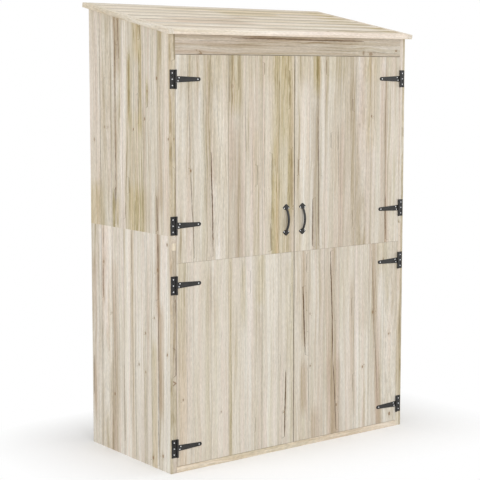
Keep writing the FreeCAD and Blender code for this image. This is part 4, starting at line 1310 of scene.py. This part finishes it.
for side, sign in (("left", 1), ("right", -1)):
    parts, places = [], []
    strap_low, strap_high = corners_of(f"upper_{side}_door_hinge_straps")[0]
    reach = (strap_high[2] - strap_low[2]) / 2 + KNUCKLE_GAP
    seam = pi if sign > 0 else 0
    for low, high in corners_of(f"{side}_hinge_plates"):
        level = (low[2] + high[2]) / 2
        axis = (high[0] - BARREL if sign > 0 else low[0] + BARREL, low[1] + BARREL)
        left, right = sorted([low[0] if sign > 0 else high[0], axis[0] - sign * LEAF_GAP])
        leaf = rounded_box(left, low[2], right, high[2], LEAF_CORNER)
        parts += [stamped(leaf, FRONT, METAL), knuckle(*axis, low[2], level - reach, seam),
                  knuckle(*axis, level + reach, high[2], seam), pin(*axis, low[2], high[2])]
        places += [(axis[0] - sign * PLATE_SCREW_FROM_AXIS, FRONT - METAL, level + step)
                   for step in (-PLATE_SCREW_STEP, 0, PLATE_SCREW_STEP)]
    metalwork(f"{side}_hinge_plate_set", parts, "carcass", [f"{side}_hinge_plates"])
    screws(f"{side}_plate_screws", places, "carcass")
print("four hinge plates on each side")

# %% [markdown]
# A strap's blade tapers from its root to a round tip. Its sides are the two lines that touch
# the tip's circle, so the angle at which they meet it follows from the blade's slant.

# %% Hinge straps
STRAP_TIP_RADIUS = 7 * MM
# Screws at the root, by their distance from the axis and their height, and one at the tip
ROOT_SCREWS = ((10.5 * MM, -5.2 * MM), (15 * MM, 5.2 * MM))
TIP_SCREW_INSET = 5 * MM

for body, sign in DOORS.items():
    node = f"{body}_hinge_straps"
    parts, places = [], []
    for low, high in corners_of(node):
        level = (low[2] + high[2]) / 2
        half = (high[2] - low[2]) / 2
        axis = (low[0] + BARREL if sign > 0 else high[0] - BARREL, low[1] + BARREL)
        run = abs((high[0] if sign > 0 else low[0]) - axis[0]) - STRAP_TIP_RADIUS
        slant = np.arctan2(half, run - LEAF_GAP)
        touch = pi - slant - np.arccos(STRAP_TIP_RADIUS / np.hypot(half, run - LEAF_GAP))
        blade = np.concatenate([[(LEAF_GAP, half), (LEAF_GAP, -half)],
                                arc((run, 0), STRAP_TIP_RADIUS, -touch, touch, 15)])
        blade = blade * (sign, 1) + (axis[0], level)
        parts += [stamped(blade[::sign], FRONT, METAL),
                  knuckle(*axis, low[2], high[2], 0 if sign > 0 else pi)]
        places += [(axis[0] + sign * out, FRONT - METAL, level + up)
                   for out, up in (*ROOT_SCREWS, (run - TIP_SCREW_INSET, 0))]
    metalwork(f"{body}_strap_set", parts, body, [node])
    screws(f"{body}_strap_screws", places, body)
print("two straps on each door")

# %% [markdown]
# ## Pull handles
# A cast handle: a bar that bows out from the door between two spade-shaped feet. The bar is an
# oval carried along an arc, a little slimmer towards its ends. Each foot is a soft-cornered
# outline drawn inwards in rings that rise as a shallow dome.

# %% Pull handles
BAR_HALF_WIDTH = 5.25 * MM
BAR_THICKNESS = 5 * MM
BAR_SLIMS = 0.12
FOOT_HALF_WIDTH = 18 * MM
FOOT_SHOULDER = 16 * MM
FOOT_HEIGHT = 24 * MM
FOOT_MIDDLE = 13 * MM
FOOT_THICKNESS = 2.6 * MM
FOOT_WALL = 0.9 * MM
FOOT_NECK_RADIUS = 1 * MM
FOOT_TIP_RADIUS = 7 * MM
FOOT_SHOULDER_RADIUS = 3 * MM
FOOT_SCREW_ACROSS = 11 * MM
FOOT_SCREW_BELOW_SHOULDER = 1.5 * MM
FOOT_SCREW_SEAT = 0.9
BAR_END_FROM_DOOR = 1 * MM
# Rings of the dome: share of the outline, share of the thickness, painted edge shade
FOOT_DOME = ((0.96, 0.55, 0.9), (0.86, 0.80, 0.5), (0.7, 0.95, 0.1), (0.4, 1.0, 0.0), (0.1, 1.0, 0.0))


def handle_bar(centre_x, centre_z, bow_radius, bow_y, reach_angle):
    """An oval carried along an arc.

    At arc angle s and oval angle t: x = w cos t, flattened by a power of 0.8, and
    out = R - T/2 + T/2 sin t, with w less by BAR_SLIMS at the ends.
    """
    rings = []
    t = np.arange(20) / 20 * 2 * pi
    for s in np.linspace(-reach_angle, reach_angle, 33):
        slim = 1 - BAR_SLIMS * (s / reach_angle) ** 2
        x = BAR_HALF_WIDTH * slim * np.sign(np.cos(t)) * np.abs(np.cos(t)) ** 0.8
        out = bow_radius - BAR_THICKNESS / 2 + BAR_THICKNESS / 2 * np.sin(t)
        ring = np.stack([centre_x + x, bow_y - out * cos(s), centre_z + out * sin(s)], 1)
        rings.append((ring, 0.0))
    return ringed(rings[::-1])


def spade_foot(centre_x, tip_z, way):
    """A foot of the handle; way is 1 for the upper one and -1 for the lower one."""
    corners = np.array([(0, 0), (-FOOT_HALF_WIDTH, -FOOT_SHOULDER), (-BAR_HALF_WIDTH, -FOOT_HEIGHT),
                        (BAR_HALF_WIDTH, -FOOT_HEIGHT), (FOOT_HALF_WIDTH, -FOOT_SHOULDER)])
    radii = np.array([FOOT_TIP_RADIUS, FOOT_SHOULDER_RADIUS, FOOT_NECK_RADIUS, FOOT_NECK_RADIUS,
                      FOOT_SHOULDER_RADIUS])
    loop = soften((corners * (1, way))[::way], radii[::way]) + (centre_x, tip_z)
    middle = np.array([centre_x, tip_z - way * FOOT_MIDDLE])
    rings = [(standing(loop, FRONT), 1.0), (standing(loop, FRONT - FOOT_WALL), 1.0)]
    for share, rise, dark in FOOT_DOME:
        rings.append((standing(middle + (loop - middle) * share, FRONT - rise * FOOT_THICKNESS), dark))
    return ringed(rings)


for body in ("upper_left_door", "upper_right_door"):
    low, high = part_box(f"{body}_handle")
    centre_x = (low.x + high.x) / 2
    centre_z = (low.z + high.z) / 2
    projection = FRONT - low.y
    half_angle = atan(FOOT_HALF_WIDTH / FOOT_SHOULDER)
    tip_loss = FOOT_TIP_RADIUS * (1 / sin(half_angle) - 1)
    half_length = (high.z - low.z) / 2 + tip_loss
    bow_reach = half_length - FOOT_HEIGHT / 2
    bow_radius = (bow_reach ** 2 + projection ** 2) / (2 * projection)
    bow_y = FRONT - projection + bow_radius
    reach_angle = np.arccos((bow_radius - projection + BAR_END_FROM_DOOR) / bow_radius)
    metalwork(f"{body}_bowed_handle", [
        handle_bar(centre_x, centre_z, bow_radius, bow_y, reach_angle),
        spade_foot(centre_x, centre_z + half_length, 1),
        spade_foot(centre_x, centre_z - half_length, -1)], body, [f"{body}_handle"])
    shoulder = half_length - FOOT_SHOULDER - FOOT_SCREW_BELOW_SHOULDER
    screws(f"{body}_handle_screws", [
        (centre_x + across, FRONT - FOOT_SCREW_SEAT * FOOT_THICKNESS, centre_z + up)
        for across in (-FOOT_SCREW_ACROSS, FOOT_SCREW_ACROSS) for up in (-shoulder, shoulder)], body)
print("two handles, bow radius", round(bow_radius / MM, 1), "mm")

# %% [markdown]
# ## Magnetic catches
# Inside, each door is held by a magnetic catch of matt plastic under a rail, which meets a thin
# steel plate on the door. The photograph doesn't show them, so they keep to the usual shapes.

# %% Catches and strike plates
plastic, n = new_material("catch_shell")
grain = n.noise(n.object_place(), 700)
n.surface(Base_Color=n.mix(grain, linear(196, 190, 178), linear(208, 203, 192)),
          Roughness=n.spread(grain, 0.3, 0.7, 0.5, 0.65))

steel, n = new_material("strike_plate_steel")
brushed = n.noise(n.vector("MULTIPLY", n.object_place(), (60, 2500, 2500)), detail=3)
n.surface(Base_Color=n.mix(brushed, linear(168, 170, 172), linear(196, 198, 200)), Metallic=0.9,
          Roughness=n.spread(brushed, 0.3, 0.7, 0.3, 0.45))


def block(low, high, soften_by):
    """A block whose edges towards the front are softened, from its outline in x and z."""
    loop = rounded_box(low[0], low[2], high[0], high[2], 2 * soften_by)
    return ringed([(standing(loop, high[1]), 0.0), (standing(loop, low[1] + soften_by), 0.0),
                   (standing(inward(loop, 0.3 * soften_by), low[1] + 0.3 * soften_by), 0.0),
                   (standing(inward(loop, soften_by), low[1]), 0.0)])


# The shell's face lies a little behind the two steel poles, which are placed by shares of its box
SHELL_INSET = (0, 0.6 * MM, 0)
SHELL_EDGE = 1.2 * MM
POLE_HEIGHTS = (0.28, 0.62)
POLE_EDGE = 0.3 * MM
STRIKE_CORNER = 1.5 * MM
shells, poles = [], []
for low, high in corners_of("door_catches"):
    shells.append(block(low + SHELL_INSET, high, SHELL_EDGE))
    for share in POLE_HEIGHTS:
        poles.append(block(low + (high - low) * (0.12, 0, share),
                           low + (high - low) * (0.88, 0.5, share + 0.12), POLE_EDGE))
metalwork("catch_shells", shells, "carcass", ["door_catches"], plastic)
metalwork("catch_poles", poles, "carcass", (), steel)
for body in DOORS:
    low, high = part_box(f"{body}_strike_plate")
    loop = rounded_box(low.x, low.z, high.x, high.z, STRIKE_CORNER)
    plate = ringed([(standing(loop, high.y), 0.0), (standing(loop, low.y), 0.0)])
    metalwork(f"{body}_strike", [plate], body, [f"{body}_strike_plate"], steel)
print("catches and strike plates")

# %% [markdown]
# ## Backdrop and light
# The photograph is a cut-out on white with even light. A large pale floor takes a soft shadow
# near the cabinet and runs out to white, which only the camera and reflections see. The lamps
# are broad, so shadows stay soft, and a colour renders about as it is written.

# %% Floor
FLOOR_HALF_SIZE = 14.0
FLOOR_FADE = 0.4
FLOOR_COLOUR = (0.97, 0.97, 0.97, 1)
WHITE = (1, 1, 1, 1)
grid = np.array([(-1, -1, 0), (1, -1, 0), (1, 1, 0), (-1, 1, 0)]) * FLOOR_HALF_SIZE
floor_material, n = new_material("pale_floor")
n.surface(Base_Color=FLOOR_COLOUR, Roughness=0.9, Specular_IOR_Level=0.0)
apart = n.vector("SUBTRACT", n.vector("ABSOLUTE", n.object_place()), (cad_high.x, cad_high.y, 0))
distance = n.vector("LENGTH", n.vector("MAXIMUM", apart), out="Value")
white = n.add("Emission", Color=WHITE, Strength=1.0)
blend = n.add("MixShader", _0=n.times(n.direct(), n.spread(distance, 0.0, FLOOR_FADE)),
              _1=n.tree.nodes["Principled BSDF"].outputs[0], _2=white.outputs[0])
n.feed(n.tree.nodes["Material Output"].inputs[0], blend.outputs[0])
floor = new_piece("floor", grid, [[0, 1, 2, 3]], floor_material)

# %% [markdown]
# The world lights everything evenly from all around. The camera sees it as pure white, although
# it lights the scene with about half of that, and four lamps add some direction.

# %% World and lamps
WORLD_LIGHT = 0.52
BODY_MIDDLE = (0, 0, 0.85)
world = bpy.data.worlds.new("white_studio")
world.use_nodes = True
bpy.context.scene.world = world
n = Nodes(world.node_tree)
background = n.tree.nodes["Background"].inputs
n.feed(background["Strength"], n.spread(n.direct(), 0, 1, WORLD_LIGHT, 1.0))
n.feed(background["Color"], WHITE)


def lamp(name, place, aim, side, watts):
    """A square area lamp that faces a point."""
    data = bpy.data.lights.new(name, "AREA")
    data.size = side
    data.energy = watts
    item = bpy.data.objects.new(name, data)
    item.location = place
    direction = np.array(aim) - np.array(place)
    item.rotation_euler = Vector(direction).to_track_quat("-Z", "Y").to_euler()
    bpy.context.scene.collection.objects.link(item)


lamp("key", (-0.8, -4.4, 2.6), BODY_MIDDLE, 2.8, 64)
lamp("side_fill", (-4.4, 0.3, 1.9), BODY_MIDDLE, 2.6, 58)
lamp("right_fill", (4.0, -1.6, 1.8), BODY_MIDDLE, 2.4, 31)
lamp("roof_light", (0.0, -0.6, 4.6), (0, 0, 1.4), 2.4, 40)
